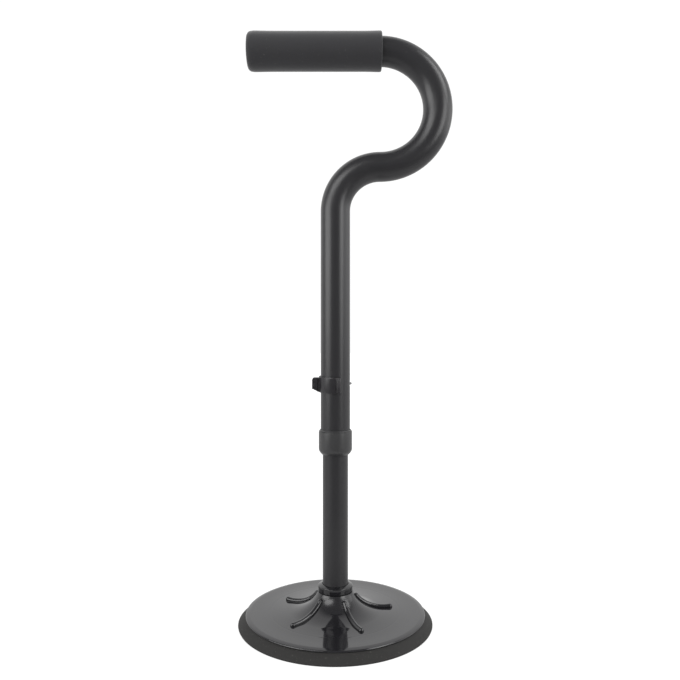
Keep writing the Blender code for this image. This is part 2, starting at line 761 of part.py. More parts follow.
def make_base_plate(material):
    plate = turned("base_plate", plate_profile(), BASE_STEPS)
    combine(plate, make_cavity(), "DIFFERENCE")
    for index in range(RIB_COUNT):
        places, scales = rib_path(RIB_FIRST_ANGLE + math.tau * index / RIB_COUNT)
        rib = swept("rib_%d" % (index + 1), places, RIB_WIDTH / 2, RIB_SIDES, True, scales)
        combine(plate, rib, "UNION")
    return as_part(plate, material)


def tread_points():
    """The grooves in the foot's underside, from the outside in."""
    points = []
    outermost = PLATE_RADIUS - TREAD_PITCH / 2
    for index in range(TREAD_COUNT):
        middle = outermost - index * TREAD_PITCH
        points += [
            (middle + TREAD_WIDTH / 2, 0.0),
            (middle + TREAD_WIDTH / 4, TREAD_DEPTH),
            (middle - TREAD_WIDTH / 4, TREAD_DEPTH),
            (middle - TREAD_WIDTH / 2, 0.0),
        ]
    return points


def make_rubber_foot(material):
    """The rubber tray under the plate. Its skirt slopes out to the floor."""
    rim_wall_radius = PLATE_RADIUS - RIM_OVERHANG
    lip = PLATE_TOP - RIM_THICKNESS - CLEARANCE
    bottom_radius = PLATE_RADIUS + SKIRT_SPREAD
    profile = [
        (0.0, FOOT_FLOOR),
        (rim_wall_radius + CLEARANCE, FOOT_FLOOR),
        (rim_wall_radius + CLEARANCE, lip),
        (PLATE_RADIUS - CLEARANCE, lip),
        (bottom_radius, SKIRT_EDGE),
        (bottom_radius - SKIRT_EDGE / 2, 0.0),
        *tread_points(),
        (0.0, 0.0),
    ]
    return as_part(turned("rubber_foot", profile, BASE_STEPS, on_axis=True), material)


def main():
    global parts, cutters
    clear_scene()
    parts = new_collection("floor_standing_aid")
    cutters = new_collection("cutters")

    painted = new_material("satin_black_paint", (0.022, 0.022, 0.023), 0.38, 0.25)
    foam = new_material("black_foam", (0.032, 0.032, 0.034), 0.90)
    gloss = new_material("gloss_black_plastic", (0.020, 0.020, 0.021), 0.12)
    matt = new_material("matt_black_plastic", (0.028, 0.028, 0.029), 0.45)
    rubber = new_material("black_rubber", (0.036, 0.034, 0.031), 0.85)
    steel = new_material("zinc_plated_steel", (0.60, 0.60, 0.62), 0.35, 1.0)

    height_axis = new_empty("height_slide_axis", (0, 0, PEG_HEIGHT))
    clip_axis = new_empty("clip_pull_axis", (-CLIP_RADIUS, 0, PEG_HEIGHT), height_axis)

    make_rubber_foot(rubber)
    make_base_plate(gloss)
    make_base_screw(steel)
    make_base_washer(steel)
    make_foot_nut(steel)
    make_foot_plug(matt)
    make_neck_ring(gloss)
    make_lower_tube(painted)
    make_tube_glide(matt)

    make_handle_tube(painted, height_axis)
    make_handle_end_plug(matt, height_axis)
    make_hand_grip(foam, height_axis)
    make_end_bush(matt, height_axis)

    make_locking_clip(matt, clip_axis)
    make_clip_peg(steel, clip_axis)


main()
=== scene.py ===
"""Floor standing aid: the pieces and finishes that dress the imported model, and the studio round it.

Metres, +Z up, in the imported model's own frame. The shaft stands on the origin, the grip points to -X
and the hook bulges to +X.
"""

import math

import bmesh
import bpy
from bpy.props import FloatProperty, FloatVectorProperty, IntProperty, PointerProperty
from bpy.types import Operator, Panel, PropertyGroup
from mathutils import Matrix, Vector


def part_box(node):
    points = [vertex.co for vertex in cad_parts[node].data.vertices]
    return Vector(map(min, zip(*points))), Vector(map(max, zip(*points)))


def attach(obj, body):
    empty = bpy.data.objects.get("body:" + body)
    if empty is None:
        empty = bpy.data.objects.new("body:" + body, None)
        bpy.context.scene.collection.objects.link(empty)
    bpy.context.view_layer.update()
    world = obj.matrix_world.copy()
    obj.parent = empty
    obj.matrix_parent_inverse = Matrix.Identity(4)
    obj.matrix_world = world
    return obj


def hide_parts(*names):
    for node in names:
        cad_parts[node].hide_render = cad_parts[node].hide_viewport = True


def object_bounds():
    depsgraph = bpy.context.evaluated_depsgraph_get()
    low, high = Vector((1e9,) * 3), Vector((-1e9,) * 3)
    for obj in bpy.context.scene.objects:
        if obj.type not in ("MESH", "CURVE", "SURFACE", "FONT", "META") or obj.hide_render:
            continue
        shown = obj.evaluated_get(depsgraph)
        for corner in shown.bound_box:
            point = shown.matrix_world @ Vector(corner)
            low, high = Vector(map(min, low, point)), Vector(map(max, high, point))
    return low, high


bl_info = {
    "name": "Floor standing aid",
    "version": (1, 0, 0),
    "blender": (4, 5, 0),
    "location": "3D View > Sidebar > Standing aid",
    "description": "Builds the visible pieces, the finishes and the studio of a floor standing aid",
    "category": "Add Mesh",
}

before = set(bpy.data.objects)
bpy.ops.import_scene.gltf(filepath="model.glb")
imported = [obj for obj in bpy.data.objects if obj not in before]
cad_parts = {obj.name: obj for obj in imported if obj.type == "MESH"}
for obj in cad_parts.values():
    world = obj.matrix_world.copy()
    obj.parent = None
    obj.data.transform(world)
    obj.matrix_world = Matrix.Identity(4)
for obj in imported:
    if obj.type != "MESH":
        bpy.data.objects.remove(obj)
CAD_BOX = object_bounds()
FLOOR_HEIGHT = CAD_BOX[0].z
GRIP_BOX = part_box("hand_grip")
RING_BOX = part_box("neck_ring")
PEG_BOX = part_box("clip_peg")
SKIRT_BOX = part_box("rubber_foot")
HANDLE_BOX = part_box("handle_tube")
LOWER_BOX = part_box("lower_tube")
BUSH_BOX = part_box("end_bush")
PLATE_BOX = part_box("base_plate")
PEG_HEIGHT = (PEG_BOX[0].z + PEG_BOX[1].z) / 2

# The camera fitted to the photograph: the photograph's width, the focal length and the horizon's
# height over the middle in pixels, and the sensor's width in millimetres
PHOTO_WIDTH = 680
FOCAL_LENGTH = 700
HORIZON_RISE = 10.5
SENSOR_WIDTH = 36.0

# The nearest distance that the camera shows, in metres
NEAREST_SEEN = 0.01

# Fineness of the round shapes
ROUND_STEPS = 128
BASE_STEPS = 288
TUBE_SIDES = 96
BEND_STEPS = 56
HOLE_SIDES = 40
FILLET_STEPS = 5
FLARE_STEPS = 72
CAVITY_STEPS = 24
SHOULDER_STEPS = 28
RIM_EDGE_STEPS = 8
RIB_POINTS = 56
RIB_SIDES = 40
WEB_SIDES = 96
GRIP_STEPS = 72
NOSE_STEPS = 12
BAND_STEPS = 96
ARM_STEPS = 12
FLOOR_SIDES = 96
BEVEL_STEPS = 4

# Turns a rod by half a side, so that none of its edges lies on an edge of what it meets
HALF_SIDE = Matrix.Rotation(math.pi / HOLE_SIDES, 4, "Z")

# Roundings of edges, in metres
KEEN_EDGE = 0.0001
FINE_EDGE = 0.0002
EASED_EDGE = 0.0003
SOFT_EDGE = 0.0004

# The most of a side that the rounding of one corner may take
FILLET_SHARE = 0.49

# The distances, in metres, within which a point counts as on the axis, and within which points
# are merged in a new mesh and in a cut one
ON_AXIS = 0.000001
MERGE_DISTANCE = 0.000004
SLIVER = 0.000002

# The angles above which an edge is shaded sharp, and above which one of the lug's edges is rounded
SHARP_ANGLE = math.radians(32.0)
BEVEL_ANGLE = math.radians(20.0)

# How far a cutter stands past what it cuts, in metres
OVERCUT = 0.0020

# The height of the cutter that hollows the round web, as a multiple of the web's
CUTTER_EXCESS = 1.1

# The least size of a rib's section at its tips, as a share of the full one
RIB_TIP_SCALE = 0.03

# Dust: the share of it left at the top, and the noise levels where a speck starts and is full
DUST_ALOFT = 0.35
SPECK_START = 0.70
SPECK_FULL = 0.80

# The floor in the studio, in metres: its radius and its gap below the object, the distances from
# the shaft where the shadow it keeps is full and ends, and the depths between which its mirror
# image brightens
FLOOR_RADIUS = 6.0
FLOOR_GAP = 0.0001
SHADOW_FULL = 0.08
SHADOW_END = 0.26
MIRRORED_FRONT = -0.45
MIRRORED_BACK = -0.05

# How far behind the object a direction points where the backdrop starts and where it is full
BACKDROP_START = -0.05
BACKDROP_FULL = 0.40

# Each soft box has its power in watts, its turn from the camera's side and its rise over the
# shaft's middle in degrees, and its width and height in metres.
SOFT_BOXES = {
    "left_box": (26.0, -62.0, 10.0, 2.20, 1.15),
    "high_left_box": (22.0, -43.0, 36.0, 2.10, 0.95),
    "right_box": (16.0, 50.0, 11.0, 1.14, 1.28),
    "high_right_box": (20.0, 72.0, 42.0, 1.18, 1.50),
    "right_side_box": (11.0, 86.0, 12.0, 2.45, 1.30),
}


def metres(name, description, default):
    """A setting that is a length."""
    return FloatProperty(name=name, description=description, default=default, unit="LENGTH")


def tint(name, description, default):
    """A setting that is a colour."""
    return FloatVectorProperty(name=name, description=description, default=default, subtype="COLOR")


class StandingAidTubes(PropertyGroup):
    """Sizes of the two tubes and of the peg that sets the height."""

    handle_diameter: metres("Handle tube", "Outer diameter of the bent handle tube", 0.0220)
    wall: metres("Wall", "Wall of both tubes", 0.0012)
    clearance: metres("Clearance", "Gap between two pieces that touch", 0.0003)
    grip_axis_height: metres("Grip height", "Height of the grip's axis", 0.4271)
    hook_radius: metres("Hook radius", "Radius of the half-round hook", 0.0433)
    shaft_bend_radius: metres("Shaft bend", "Radius of the bend above the shaft", 0.0335)
    peg_diameter: metres("Peg", "Diameter of the peg", 0.0045)
    peg_tip_length: metres("Peg tip length", "Length of the peg's cone", 0.0029)
    peg_tip_diameter: metres("Peg tip", "Diameter of the cone's blunt end", 0.0006)
    hole_pitch: metres("Hole pitch", "Height between two settings", 0.0127)
    hole_count: IntProperty(
        name="Holes", description="Pairs of holes down the lower tube", default=7, min=1
    )
    holes_below: IntProperty(
        name="Holes below", description="Pairs of holes below the setting in use", default=3, min=0
    )


class StandingAidGrip(PropertyGroup):
    """Sizes of the foam grip."""

    foam_wall: metres("Foam wall", "Thickness of the foam on the tube", 0.00305)
    end_wall: metres("End wall", "Thickness of the grip's closed end", 0.0030)
    crown: metres("Crown", "Rounding of the closed end", 0.0034)
    mouth: metres("Mouth", "Rounding of the open end", 0.0012)
    swell: metres("Swell", "How far the foam stands proud near its ends", 0.00022)
    closed_swell_length: metres("Swell at the closed end", "Length over which the swell dies out", 0.010)
    open_swell_length: metres("Swell at the open end", "Length over which the swell dies out", 0.007)
    crown_blend: metres("Crown blend", "Length over which the swell runs into the crown", 0.001)


class StandingAidCollars(PropertyGroup):
    """Sizes of the bush on the handle tube and of the ring at the shaft's foot."""

    bush_wall: metres("Bush wall", "Wall of the bush", 0.0012)
    bush_lip: metres("Bush lip", "Height of the top lip", 0.0010)
    bush_groove: metres("Bush groove", "Width of the groove under the lip", 0.0005)
    bush_shoulder: metres("Bush shoulder", "Radius of the nose's shoulder", 0.0050)
    bush_edge: metres("Bush edge", "Width of the nose's edge at the tube", 0.00025)
    ring_cone: metres("Ring cone", "Height of the ring's sloping top", 0.0011)
    ring_rounding: metres("Ring rounding", "Rounding of the ring's edges", 0.0004)


class StandingAidClip(PropertyGroup):
    """Sizes of the locking clip."""

    wall: metres("Wall", "Thickness of the clip's band", 0.0011)
    above_peg: metres("Above the peg", "Height of the band above the peg", 0.0045)
    below_peg: metres("Below the peg", "Height of the band below the peg", 0.0066)
    rise: metres("Rise", "How much higher the band is at the lug", 0.0012)
    bead_radius: metres("Bead", "Radius of the bead at the end of each arm", 0.00125)
    bead_reach: metres("Bead reach", "Place along X of the beads", 0.0027)
    bead_rise: metres("Bead rise", "How far the beads stand above the arms", 0.0003)
    arm_groove_depth: metres("Arm groove depth", "Depth of the groove beside each bead", 0.00040)
    arm_groove_width: metres("Arm groove width", "Width of the groove beside each bead", 0.0009)
    arm_groove_place: metres("Arm groove place", "Place along X of the grooves", 0.0008)
    ledge_start: metres(
        "Ledge start", "Place along X where the wide part of the top's chamfer starts", -0.0105
    )
    ledge_length: metres("Ledge length", "Length of the wide part of the chamfer", 0.0055)
    ledge_least: metres("Chamfer", "Depth of the chamfer along the band's top", 0.00020)
    ledge_most: metres("Widest chamfer", "Depth of the chamfer at the end of its wide part", 0.00060)
    ledge_steepness: FloatProperty(
        name="Chamfer steepness", description="Height of the chamfer for its depth", default=2.4
    )
    lug_reach: metres("Lug reach", "How far the lug stands out from the band", 0.0050)
    lug_width: metres("Lug width", "Width of the lug", 0.0078)
    lug_above_peg: metres("Lug above the peg", "Height of the lug above the peg", 0.0044)
    lug_below_peg: metres("Lug below the peg", "Depth of the lug's nose below the peg", 0.0040)
    lug_outer_wall: metres("Lug outer wall", "Wall beyond the end of the peg", 0.0013)
    lug_corner: metres("Lug corner", "Size of the cut corner at the lug's top", 0.0007)
    lug_edge: metres("Lug edge", "Rounding of the lug's edges", 0.00035)
    step_count: IntProperty(name="Steps", description="Steps on the lug's underside", default=2, min=0)
    step_run: metres("Step run", "Length of a step on the lug's underside", 0.0014)
    step_fall: metres("Step fall", "How far a step falls over its run", 0.00025)
    step_slant: metres("Step slant", "Length of the slant between two steps", 0.0003)
    step_drop: metres("Step drop", "Drop from one step to the next", 0.0006)
    heel: metres("Heel", "Height of the lug's root above the band's lower edge", 0.0004)
    first_groove: metres("First groove", "Distance from the lug's end to its first groove", 0.0013)
    rib_pitch: metres("Rib pitch", "Distance between the lug's grooves", 0.0034)
    groove_count: IntProperty(
        name="Grooves", description="Upright grooves in each side of the lug", default=2, min=1
    )
    groove_radius: metres("Groove", "Radius of the grooves between the ribs", 0.0006)


class StandingAidBase(PropertyGroup):
    """Sizes of the base plate and of the rubber foot."""

    plate_radius: metres("Plate radius", "Radius of the plate", 0.0667)
    plate_top: metres("Plate top", "Height of the plate's flat top", 0.0085)
    plate_wall: metres("Plate wall", "Wall of the plate", 0.0026)
    rim_thickness: metres("Rim", "Thickness of the rim's lip", 0.0017)
    rim_spread: metres("Rim spread", "Width of the rim's sloping shoulder", 0.0031)
    rim_rounding: metres("Rim rounding", "Radius of the rim's upper edge", 0.0009)
    rim_edge: metres("Rim edge", "Rounding of the rim's lower edge", 0.0003)
    rim_overhang: metres("Rim overhang", "How far the lip stands over the rubber", 0.0021)
    rim_wall: metres("Rim wall", "Wall below the rim", 0.0022)
    flare_radius: metres("Flare radius", "Radius at which the flare meets the disc", 0.0380)
    flare_rise: metres("Flare rise", "Height of the flare's quarter ellipse", 0.0195)
    flare_neck_wall: metres("Flare neck wall", "Wall of the flare where it would stand upright", 0.0023)
    socket_top: metres("Socket top", "Height of the socket's shoulder", 0.0230)
    socket_wall: metres("Socket wall", "Wall of the socket below the flare", 0.0022)
    socket_floor: metres("Socket floor", "Height of the floor of the socket", 0.0119)
    socket_web: metres("Socket web", "Thickness of the floor of the socket", 0.0030)
    spigot_height: metres("Spigot height", "Height of the spigot in the ring", 0.0034)
    spigot_wall: metres("Spigot wall", "Wall of the spigot", 0.0014)
    washer_pocket: metres("Washer pocket", "Radius of the pocket for the washer", 0.0083)
    screw_hole: metres("Screw hole", "Radius of the hole for the screw", 0.0033)
    witness_radius: metres("Witness line", "Radius of the faint ring on the plate", 0.0482)
    fall_start: metres("Fall start", "Radius where the slow fall of the skin starts", 0.0343)
    fall_end: metres("Fall end", "Radius where the slow fall of the skin ends", 0.0580)
    fall_slope: FloatProperty(
        name="Fall slope", description="Slope at the start of the slow fall",
        default=math.radians(5.9), subtype="ANGLE",
    )
    witness_width: metres("Witness width", "Width of the faint ring", 0.0007)
    witness_depth: metres("Witness depth", "Depth of the faint ring", 0.00006)
    neck_roughness: FloatProperty(
        name="Neck roughness", description="How much rougher the neck is than the polished disc",
        default=0.18, subtype="FACTOR",
    )
    dull_radius: metres("Dull radius", "Radius within which the neck is at its roughest", 0.0150)
    polished_radius: metres("Polished radius", "Radius beyond which the plate is fully polished", 0.0230)
    web_thickness: metres("Web", "Thickness of the webs under the plate", 0.0022)
    round_web_radius: metres("Round web", "Radius of the round web", 0.0480)
    rib_count: IntProperty(name="Ribs", description="Raised ribs on the flare", default=5, min=1)
    rib_width: metres("Rib width", "Width of a rib", 0.0036)
    rib_height: metres("Rib height", "How far a rib stands up", 0.0022)
    rib_start: metres("Rib start", "Radius at which a rib starts", 0.0136)
    rib_end: metres("Rib end", "Radius at which a rib ends", 0.0436)
    rib_angle: FloatProperty(
        name="Rib angle", description="Turn of the first rib from +X",
        default=math.radians(8.0), subtype="ANGLE",
    )
    foot_floor: metres("Foot floor", "Thickness of the rubber under the plate", 0.0028)
    skirt_edge: metres("Skirt edge", "Height of the skirt's upright edge", 0.0009)
    tread_depth: metres("Tread depth", "Depth of the tread grooves", 0.0009)
    tread_width: metres("Tread width", "Width of a tread groove", 0.0016)
    tread_pitch: metres("Tread pitch", "Distance between tread grooves", 0.0100)
    tread_count: IntProperty(name="Treads", description="Round grooves under the foot", default=4, min=0)


class StandingAidColours(PropertyGroup):
    """Colours of the finishes."""

    paint: tint("Paint", "Satin black powder coat", (0.0158, 0.0154, 0.0172))
    foam: tint("Foam", "Black closed-cell foam", (0.0142, 0.0138, 0.0162))
    gloss: tint("Gloss plastic", "Polished black plastic", (0.0115, 0.0112, 0.0130))
    matt: tint("Matt plastic", "Moulded black plastic", (0.030, 0.030, 0.031))
    clip: tint("Clip plastic", "Smooth black plastic", (0.0150, 0.0140, 0.0163))
    rubber: tint("Rubber", "Matt black rubber", (0.0118, 0.0112, 0.0104))
    steel: tint("Steel", "Zinc plated steel", (0.60, 0.60, 0.62))
    # The peg's steel is darker than the zinc plate: painted shade on the peg
    peg_colour_painted_shade: tint("Peg", "Dulled steel of the peg", (0.19, 0.19, 0.195))
    dust: tint("Dust", "Pale specks on foam and rubber", (0.30, 0.29, 0.27))


class StandingAidStudio(PropertyGroup):
    """Place of the camera and levels of the lights."""

    camera_place: FloatVectorProperty(
        name="Camera", description="Place of the camera",
        default=(0.00345, -0.525, 0.2186), subtype="TRANSLATION",
    )
    lens: FloatProperty(
        name="Lens", description="Focal length in millimetres on a 36 mm sensor",
        default=SENSOR_WIDTH * FOCAL_LENGTH / PHOTO_WIDTH,
    )
    shift: FloatProperty(
        name="Shift", description="Upward shift of the view, as a share of its width",
        default=-HORIZON_RISE / PHOTO_WIDTH,
    )
    box_power: FloatProperty(
        name="Box power", description="Share of each soft box's own power", default=1.0
    )
    box_distance: FloatProperty(
        name="Box distance", description="Distance of the soft boxes from the shaft", default=2.4
    )
    room_level: FloatProperty(
        name="Room", description="Light of the room in front of the object and above it", default=0.28
    )
    backdrop_level: FloatProperty(
        name="Backdrop", description="Light of the white backdrop behind the object", default=1.04
    )
    floor_level: FloatProperty(
        name="Floor", description="White that the floor adds to its own light", default=1.25
    )
    floor_mirrored: FloatProperty(
        name="Floor in reflections", description="Light of the mirrored floor, as a share of that above it",
        default=0.72, subtype="FACTOR",
    )
    floor_white: FloatProperty(
        name="Floor white", description="How much of its light the floor gives back",
        default=0.82, subtype="FACTOR",
    )
    floor_shadow: FloatProperty(
        name="Floor shadow", description="Share of the floor that takes the object's shadow",
        default=0.35, subtype="FACTOR",
    )


def tubes():
    """The sizes of the tubes, which most pieces fit."""
    return bpy.context.scene.standing_aid_tubes


def colours():
    """The colours of the finishes."""
    return bpy.context.scene.standing_aid_colours


def round_handle_tube(size):
    """The inner radius of what goes round the handle tube."""
    return size.handle_diameter / 2 + size.clearance


def round_lower_tube(size):
    """The inner radius of what goes round the lower tube, the same as the handle tube's bore."""
    return size.handle_diameter / 2 - size.wall


def round_peg(size):
    """The radius of the holes that take the peg."""
    return size.peg_diameter / 2 + size.clearance


# Shapes


def fading(distance, length):
    """A share that is 1 at no distance and dies out smoothly over a length."""
    return math.exp(-((distance / length) ** 2))


def arc(centre, radius, start, end, steps):
    """Points on a circle's arc in a plane, from one angle in degrees to another."""
    points = []
    for step in range(steps + 1):
        angle = math.radians(start + (end - start) * step / steps)
        points.append((centre[0] + radius * math.cos(angle), centre[1] + radius * math.sin(angle)))
    return points


def filleted(outline, closed=True):
    """A flat outline of (x, y, radius) points with each corner rounded by its own radius."""
    points = []
    count = len(outline)
    for index, (x, y, radius) in enumerate(outline):
        corner = Vector((x, y))
        at_end = not closed and index in (0, count - 1)
        if radius <= 0 or at_end:
            points.append((x, y))
            continue
        before = Vector(outline[index - 1][:2]) - corner
        after = Vector(outline[(index + 1) % count][:2]) - corner
        half = before.angle(after) / 2
        longest = FILLET_SHARE * min(before.length, after.length)
        reach = min(radius / math.tan(half), longest)
        radius = reach * math.tan(half)
        first = corner + before.normalized() * reach
        last = corner + after.normalized() * reach
        centre = corner + (before.normalized() + after.normalized()).normalized() * radius / math.sin(half)
        from_centre = first - centre
        sweep = from_centre.angle_signed(last - centre)
        for step in range(FILLET_STEPS + 1):
            turned_by = Matrix.Rotation(-sweep * step / FILLET_STEPS, 2)
            place = centre + turned_by @ from_centre
            points.append((place.x, place.y))
    return points


def linked(name, data):
    """A new object in the scene."""
    obj = bpy.data.objects.new(name, data)
    bpy.context.scene.collection.objects.link(obj)
    return obj


def mesh_object(name, shape):
    """A new object of a bmesh, with doubles merged and faces outwards."""
    bmesh.ops.remove_doubles(shape, verts=shape.verts, dist=MERGE_DISTANCE)
    bmesh.ops.recalc_face_normals(shape, faces=shape.faces)
    mesh = bpy.data.meshes.new(name)
    shape.to_mesh(mesh)
    shape.free()
    return linked(name, mesh)


def lofted(name, rings):
    """A solid through rings of points, with a flat cap on the first and the last."""
    shape = bmesh.new()
    rows = [[shape.verts.new(point) for point in ring] for ring in rings]
    for row, following in zip(rows, rows[1:]):
        for index in range(len(row)):
            after = (index + 1) % len(row)
            shape.faces.new((row[index], row[after], following[after], following[index]))
    shape.faces.new(reversed(rows[0]))
    shape.faces.new(rows[-1])
    return mesh_object(name, shape)


def turned(name, outline, steps, on_axis=False):
    """A closed outline of (radius, height) points turned about Z.

    An outline that starts and ends on the axis makes a solid with poles.
    """
    shape = bmesh.new()
    rows = []
    for radius, height in outline:
        if radius < ON_AXIS:
            pole = shape.verts.new((0.0, 0.0, height))
            rows.append([pole] * steps)
            continue
        row = []
        for step in range(steps):
            angle = math.tau * step / steps
            row.append(shape.verts.new((radius * math.cos(angle), radius * math.sin(angle), height)))
        rows.append(row)
    pairs = list(zip(rows, rows[1:]))
    if not on_axis:
        pairs.append((rows[-1], rows[0]))
    for row, following in pairs:
        for index in range(steps):
            after = (index + 1) % steps
            corners = [row[index], row[after], following[after], following[index]]
            corners = list(dict.fromkeys(corners))
            if len(corners) > 2:
                shape.faces.new(corners)
    return mesh_object(name, shape)


def along_x(obj, start, height):
    """Turns a piece made up the Z axis so that it runs along X from a start, at a height."""
    obj.data.transform(Matrix.Translation((0, 0, height)) @ Matrix.Rotation(math.pi / 2, 4, "Y"))
    obj.data.transform(Matrix.Translation((start, 0, 0)))


def path_object(name, points):
    """A run of points joined by edges, for a tree that sweeps a section along it."""
    mesh = bpy.data.meshes.new(name)
    mesh.from_pydata(points, [(index, index + 1) for index in range(len(points) - 1)], [])
    return linked(name, mesh)


def baked(obj):
    """Replaces an object's mesh with the one that its modifiers make, and removes them."""
    graph = bpy.context.evaluated_depsgraph_get()
    graph.update()
    mesh = bpy.data.meshes.new_from_object(obj.evaluated_get(graph))
    obj.modifiers.clear()
    obj.data = mesh
    mesh.name = obj.name
    if not mesh.polygons:
        raise RuntimeError(obj.name + " came out empty")
    return obj


def closed_up(mesh):
    """Merges the slivers that a cut leaves where two surfaces nearly touch."""
    shape = bmesh.new()
    shape.from_mesh(mesh)
    bmesh.ops.remove_doubles(shape, verts=shape.verts, dist=SLIVER)
    bmesh.ops.dissolve_degenerate(shape, edges=shape.edges, dist=SLIVER)
    shape.to_mesh(mesh)
    shape.free()


def finished(obj, material, body, stands_for):
    """Shades a piece, gives it its finish and lets it ride on its body in place of the CAD nodes."""
    mesh = obj.data
    closed_up(mesh)
    mesh.shade_smooth()
    mesh.set_sharp_from_angle(angle=SHARP_ANGLE)
    mesh.materials.clear()
    mesh.materials.append(material)
    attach(obj, body)
    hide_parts(*stands_for)


def boolean(obj, tool, operation):
    """Joins a tool to an object or cuts it away, and removes the tool."""
    modifier = obj.modifiers.new(operation.title(), "BOOLEAN")
    modifier.operation = operation
    modifier.solver = "EXACT"
    modifier.object = tool
    baked(obj)
    bpy.data.objects.remove(tool)


# Geometry Nodes


def add(tree, kind, inputs=None, **settings):
    """Adds a node. An input is a value, a socket to link from, or a list of sockets."""
    node = tree.nodes.new(kind)
    for name, value in settings.items():
        setattr(node, name, value)
    for key, value in (inputs or {}).items():
        for item in value if isinstance(value, list) else [value]:
            if isinstance(item, bpy.types.NodeSocket):
                tree.links.new(item, node.inputs[key])
            else:
                node.inputs[key].default_value = item
    return node


def calculate(tree, operation, *values):
    """A sum on values and sockets, as a socket."""
    inputs = dict(enumerate(values))
    return add(tree, "ShaderNodeMath", inputs, operation=operation).outputs[0]


def combined(tree, x=0.0, y=0.0, z=0.0):
    """A vector from its parts."""
    return add(tree, "ShaderNodeCombineXYZ", {"X": x, "Y": y, "Z": z}).outputs["Vector"]


def scaled(tree, vector, factor):
    """A vector made longer by a factor."""
    return add(tree, "ShaderNodeVectorMath", {0: vector, "Scale": factor}, operation="SCALE").outputs[0]


def geometry_tree(name, sockets):
    """A modifier tree with named inputs, given as {name: socket type}. Returns it and its two ends."""
    tree = bpy.data.node_groups.new(name, "GeometryNodeTree")
    tree.is_modifier = True
    tree.interface.new_socket("Geometry", in_out="INPUT", socket_type="NodeSocketGeometry")
    for label, kind in sockets.items():
        tree.interface.new_socket(label, in_out="INPUT", socket_type="NodeSocket" + kind)
    tree.interface.new_socket("Geometry", in_out="OUTPUT", socket_type="NodeSocketGeometry")
    return tree, add(tree, "NodeGroupInput").outputs, add(tree, "NodeGroupOutput").inputs


def run_tree(obj, tree, values):
    """Shapes an object with a tree, whose inputs are set by name through their identifiers."""
    modifier = obj.modifiers.new(tree.name, "NODES")
    modifier.node_group = tree
    for item in tree.interface.items_tree:
        if item.item_type == "SOCKET" and item.in_out == "INPUT" and item.name in values:
            modifier[item.identifier] = values[item.name]
    return baked(obj)


def closing(tree, geometry, sizes, ends):
    """The end of every tree: its instances made real and its material set."""
    real = add(tree, "GeometryNodeRealizeInstances", {"Geometry": geometry}).outputs["Geometry"]
    painted = add(tree, "GeometryNodeSetMaterial", {"Geometry": real, "Material": sizes["Material"]})
    tree.links.new(painted.outputs["Geometry"], ends["Geometry"])


def copied(tree, instance, points, turn=None):
    """Copies of a shape on points, made real."""
    inputs = {"Points": points, "Instance": instance}
    if turn is not None:
        inputs["Rotation"] = turn
    copies = add(tree, "GeometryNodeInstanceOnPoints", inputs).outputs["Instances"]
    return add(tree, "GeometryNodeRealizeInstances", {"Geometry": copies}).outputs["Geometry"]


def circle_height(tree, share):
    """Height of a unit circle over a share of its radius."""
    square = calculate(tree, "MULTIPLY", share, share)
    return calculate(tree, "SQRT", calculate(tree, "SUBTRACT", 1.0, square))


def lined_up(tree, instance, count, start, step):
    """Copies of a shape in a row, from a start by equal steps."""
    places = {"Count": count, "Start Location": start, "Offset": step}
    return copied(tree, instance, add(tree, "GeometryNodeMeshLine", places, mode="OFFSET").outputs["Mesh"])


def round_z(tree, instance, count, first, step):
    """Copies of a shape turned round the shaft's axis by equal steps."""
    index = add(tree, "GeometryNodeInputIndex").outputs["Index"]
    euler = combined(tree, z=calculate(tree, "MULTIPLY_ADD", index, step, first))
    turn = add(tree, "FunctionNodeEulerToRotation", {"Euler": euler}).outputs["Rotation"]
    return copied(tree, instance, add(tree, "GeometryNodePoints", {"Count": count}).outputs["Points"], turn)


def cylinder(tree, sides, radius, depth):
    """An upright solid cylinder."""
    inputs = {"Vertices": sides, "Radius": radius, "Depth": depth}
    return add(tree, "GeometryNodeMeshCylinder", inputs).outputs["Mesh"]


def swept(tree, path, sides, radius, scale=1.0):
    """A solid with a round section, swept along a curve."""
    circle = {"Resolution": sides, "Radius": radius}
    section = add(tree, "GeometryNodeCurvePrimitiveCircle", circle).outputs["Curve"]
    inputs = {"Curve": path, "Profile Curve": section, "Scale": scale, "Fill Caps": True}
    return add(tree, "GeometryNodeCurveToMesh", inputs).outputs["Mesh"]


def exact_boolean(tree, operation, inputs):
    """What an exact boolean makes of solids."""
    settings = {"operation": operation, "solver": "EXACT"}
    return add(tree, "GeometryNodeMeshBoolean", inputs, **settings).outputs["Mesh"]


def cut(tree, solid, tools):
    """A solid with tools cut out of it."""
    return exact_boolean(tree, "DIFFERENCE", {"Mesh 2": tools, "Mesh 1": solid})


def fused(tree, solids):
    """Solids that overlap, made one."""
    return exact_boolean(tree, "UNION", {"Mesh 2": solids})


